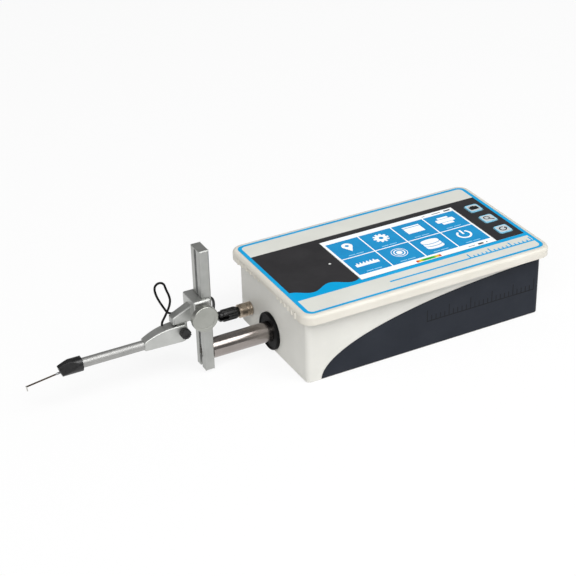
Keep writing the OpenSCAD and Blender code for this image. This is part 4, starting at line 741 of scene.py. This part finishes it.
def makeScreen():
    x0, y0, x1, y1 = panel["screen"]
    inset, gap = screen["inset"], screen["gap"]
    sheet = box2d(x0 + inset, y0 + inset, x1 - inset, y1 - inset)
    addPrint("screenSheet", [sheet], panel["top"], "screenWhite")
    rows = [[symbolPin, symbolGear, symbolWindow, symbolPrinter],
        [symbolRuler, symbolTarget, symbolDrum, symbolPower]]
    across, down = len(rows[0]), len(rows)
    wide = (screen["right"] - screen["left"] - (across - 1) * gap) / across
    tall = (screen["top"] - screen["bottom"] - (down - 1) * gap) / down
    low, high = screen["captionY"]
    tiles, symbols, captions = [], [], []
    for r, row in enumerate(rows):
        for c, drawn in enumerate(row):
            x = screen["left"] + c * (wide + gap)
            y = screen["top"] - tall - r * (tall + gap)
            tiles.append(box2d(x, y, x + wide, y + tall))
            middle = x + wide / 2, y + tall * screen["symbolUp"]
            symbols += enlarged(drawn(*middle), *middle, screen["symbol"])
            captions += [box2d(x + wide * a, y + low, x + wide * b, y + high) for a, b in screen["caption"]]
    addShown("screenTiles", tiles, screen["tileLift"], "screenBlue")
    addShown("screenSymbols", symbols, screen["symbolLift"], "screenWhite")
    addShown("screenCaptions", captions, screen["symbolLift"], "screenPale")
    marks = [box2d(*bar) for bar in screen["bars"]] + [roundRect(*screen["cell"]), disc(*screen["dot"])]
    addShown("screenMarks", marks, screen["tileLift"], "screenGrey")


# level bar under the tiles, green in the middle and red at its ends
level = dict(x=(6, 34), y=-39.9, tall=4, corner=0.6, gloss=400, rough=(0.2, 0.26),
    stops=[(0.04, (210, 30, 26)), (0.16, (240, 204, 40)), (0.3, (36, 170, 44)), (0.7, (36, 170, 44)),
        (0.84, (240, 204, 40)), (0.96, (210, 30, 26))])


def levelFinish(name):
    finish, tree, shader, coords = startFinish(name)
    a, b = level["x"]
    across = node(tree, "ShaderNodeSeparateXYZ")
    share = stretched(tree, coords, (1 / ((b - a) * mm),) * 3, (a * mm, 0, 0))
    tree.links.new(share, across.inputs["Vector"])
    colour = ramp(tree, across.outputs["X"], [(at, tone(*shade)) for at, shade in level["stops"]])
    tree.links.new(colour, shader.inputs["Base Color"])
    gloss = noise(tree, coords, level["gloss"])
    tree.links.new(spread(tree, gloss, *level["rough"]), shader.inputs["Roughness"])
    return finish


def makeLevel():
    finishes["levelColours"] = levelFinish("levelColours")
    a, b = level["x"]
    bar = roundRect((a + b) / 2, level["y"], b - a, level["tall"], level["corner"])
    addShown("screenLevel", [bar], screen["tileLift"], "levelColours")


makeScreen()
makeLevel()
print("screen drawn")

# keys: a pale ring and a dark symbol on each cap, and a frame round the cap in the panel
keys = dict(top=79.0, frame=15.3, outer=14.3, inner=12.2, r=2.4, frameMore=0.4, innerLess=0.8, padThick=0.025,
    symbol=1.15)


def symbolCamera(x, y):
    return [roundRect(x, y - 0.3, 8.6, 5.6, 1), box2d(x - 1.8, y + 2.5, x + 1.8, y + 3.5)]


def symbolLoupe(x, y):
    near, far, half = 1.6, 5.8, 0.7
    slant = math.sqrt(0.5)
    corners = ((near, half), (far, half), (far, -half), (near, -half))
    handle = [(x + slant * (u + v), y + slant * (v - u)) for u, v in corners]
    return between(disc(x - 1, y + 1, 3), disc(x - 1, y + 1, 2)) + [handle]


def symbolTurn(x, y):
    return arcBand(x, y, 2.4, 3.6, 60, 360) + [[(x + 1.2, y), (x + 4.8, y), (x + 3, y + 2.6)]]


def makeKeys():
    r, top = keys["r"], keys["top"]
    drawings = (("rear_key", 1, symbolCamera), ("middle_key", 0, symbolLoupe), ("front_key", -1, symbolTurn))
    for body, row, drawn in drawings:
        x, y = panel["keyX"], panel["keyY"] + row * panel["keyPitch"]
        pad = roundSquare(x, y, keys["inner"], r - keys["innerLess"])
        ring = between(roundSquare(x, y, keys["outer"], r), pad)
        rim = between(roundSquare(x, y, panel["keyHole"], r + keys["frameMore"]),
            roundSquare(x, y, keys["frame"], r))
        symbol = enlarged(drawn(x, y), x, y, keys["symbol"])
        addPrint(body + "Frame", rim, panel["top"], "keyGlow")
        addPrint(body + "Ring", ring, top, "keyRing", body)
        addPrint(body + "Pad", [pad], top, "keyPad", body, thick=keys["padThick"])
        addPrint(body + "Symbol", symbol, top, "keySymbol", body)


makeKeys()
print("keys marked")

# contacts in the data socket
contacts = dict(count=4, pitch=1.1, size=(6, 0.6, 0.12), up=1.6, inset=5.5)


def makeContacts():
    low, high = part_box("data_socket")
    pitch = contacts["pitch"] * mm
    y = (low[1] + high[1]) / 2 - pitch * (contacts["count"] - 1) / 2
    z = (low[2] + high[2]) / 2 + contacts["up"] * mm
    mesh = grown("dataContacts", rowTree("contactRow", finishes["goldContact"]), {"Count": contacts["count"],
        "Start": (high[0] - contacts["inset"] * mm, y, z), "Step": (0, pitch, 0),
        "Size": [s * mm for s in contacts["size"]]})
    addPiece("dataContacts", mesh, "goldContact", "housing")


makeContacts()
print("contacts grown")

# studio, in metres: pale floor, soft lamps, and a dim sky with one long bright strip over the front
studio = dict(reach=60, drop=0.0003, matte=0.86, glow=0.85, aim=(-0.1, 0, 0.05),
    lamps=[("keyLamp", (-1.25, -1.6, 1.75), 1.5, 25), ("fillLamp", (1, -1.3, 1.72), 1.2, 12.5),
        ("topLamp", (0.3, -0.9, 2.1), 1.1, 12)],
    lean=-0.5, strip=[(0.13, 0.28), (0.18, 1.3), (0.68, 1.3), (0.8, 0.28)])


def grey(value):
    return value, value, value, 1


def floorFinish():
    finish = bpy.data.materials.new("paleFloor")
    finish.use_nodes = True
    tree = finish.node_tree
    tree.nodes.clear()
    rays = node(tree, "ShaderNodeLightPath")
    direct = node(tree, "ShaderNodeMath", operation="MAXIMUM")
    seen = node(tree, "ShaderNodeMath", operation="MAXIMUM")
    part = node(tree, "ShaderNodeMath", operation="MULTIPLY")
    part.inputs[1].default_value = studio["glow"]
    tree.links.new(rays.outputs["Is Camera Ray"], direct.inputs[0])
    tree.links.new(rays.outputs["Is Glossy Ray"], direct.inputs[1])
    tree.links.new(direct.outputs[0], seen.inputs[0])
    tree.links.new(rays.outputs["Is Transmission Ray"], seen.inputs[1])
    tree.links.new(seen.outputs[0], part.inputs[0])
    matte = node(tree, "ShaderNodeBsdfDiffuse")
    matte.inputs["Color"].default_value = grey(studio["matte"])
    glow = node(tree, "ShaderNodeEmission")
    mix = node(tree, "ShaderNodeMixShader")
    done = node(tree, "ShaderNodeOutputMaterial")
    tree.links.new(part.outputs[0], mix.inputs["Fac"])
    tree.links.new(matte.outputs["BSDF"], mix.inputs[1])
    tree.links.new(glow.outputs["Emission"], mix.inputs[2])
    tree.links.new(mix.outputs["Shader"], done.inputs["Surface"])
    return finish


def makeFloor():
    reach = studio["reach"]
    mesh = bpy.data.meshes.new("studioFloor")
    corners = [(x, y, 0) for x, y in box2d(-reach, -reach, reach, reach)]
    mesh.from_pydata(corners, [], [(0, 1, 2, 3)])
    mesh.materials.append(floorFinish())
    floor = bpy.data.objects.new("studioFloor", mesh)
    floor.location.z = -studio["drop"]
    bpy.context.scene.collection.objects.link(floor)


def makeLamps():
    for name, place, size, power in studio["lamps"]:
        data = bpy.data.lights.new(name, "AREA")
        data.shape, data.size, data.energy = "DISK", size, power
        lamp = bpy.data.objects.new(name, data)
        lamp.location = place
        aim = Vector(studio["aim"]) - Vector(place)
        lamp.rotation_euler = aim.to_track_quat("-Z", "Y").to_euler()
        bpy.context.scene.collection.objects.link(lamp)


def makeSky():
    world = bpy.data.worlds.new("studioSky")
    bpy.context.scene.world = world
    world.use_nodes = True
    tree = world.node_tree
    parts = node(tree, "ShaderNodeSeparateXYZ")
    slope = node(tree, "ShaderNodeMath", operation="DIVIDE")
    forward = node(tree, "ShaderNodeMath", operation="MULTIPLY")
    forward.inputs[1].default_value = studio["lean"]  # grows towards the front
    tree.links.new(node(tree, "ShaderNodeTexCoord").outputs["Generated"], parts.inputs["Vector"])
    tree.links.new(parts.outputs["Y"], slope.inputs[0])
    tree.links.new(parts.outputs["Z"], slope.inputs[1])
    tree.links.new(slope.outputs[0], forward.inputs[0])
    shade = ramp(tree, forward.outputs[0], [(at, grey(value)) for at, value in studio["strip"]])
    tree.links.new(shade, tree.nodes["Background"].inputs["Color"])


makeFloor()
makeLamps()
makeSky()
bpy.context.scene.view_settings.view_transform = "Standard"
print("studio lit")
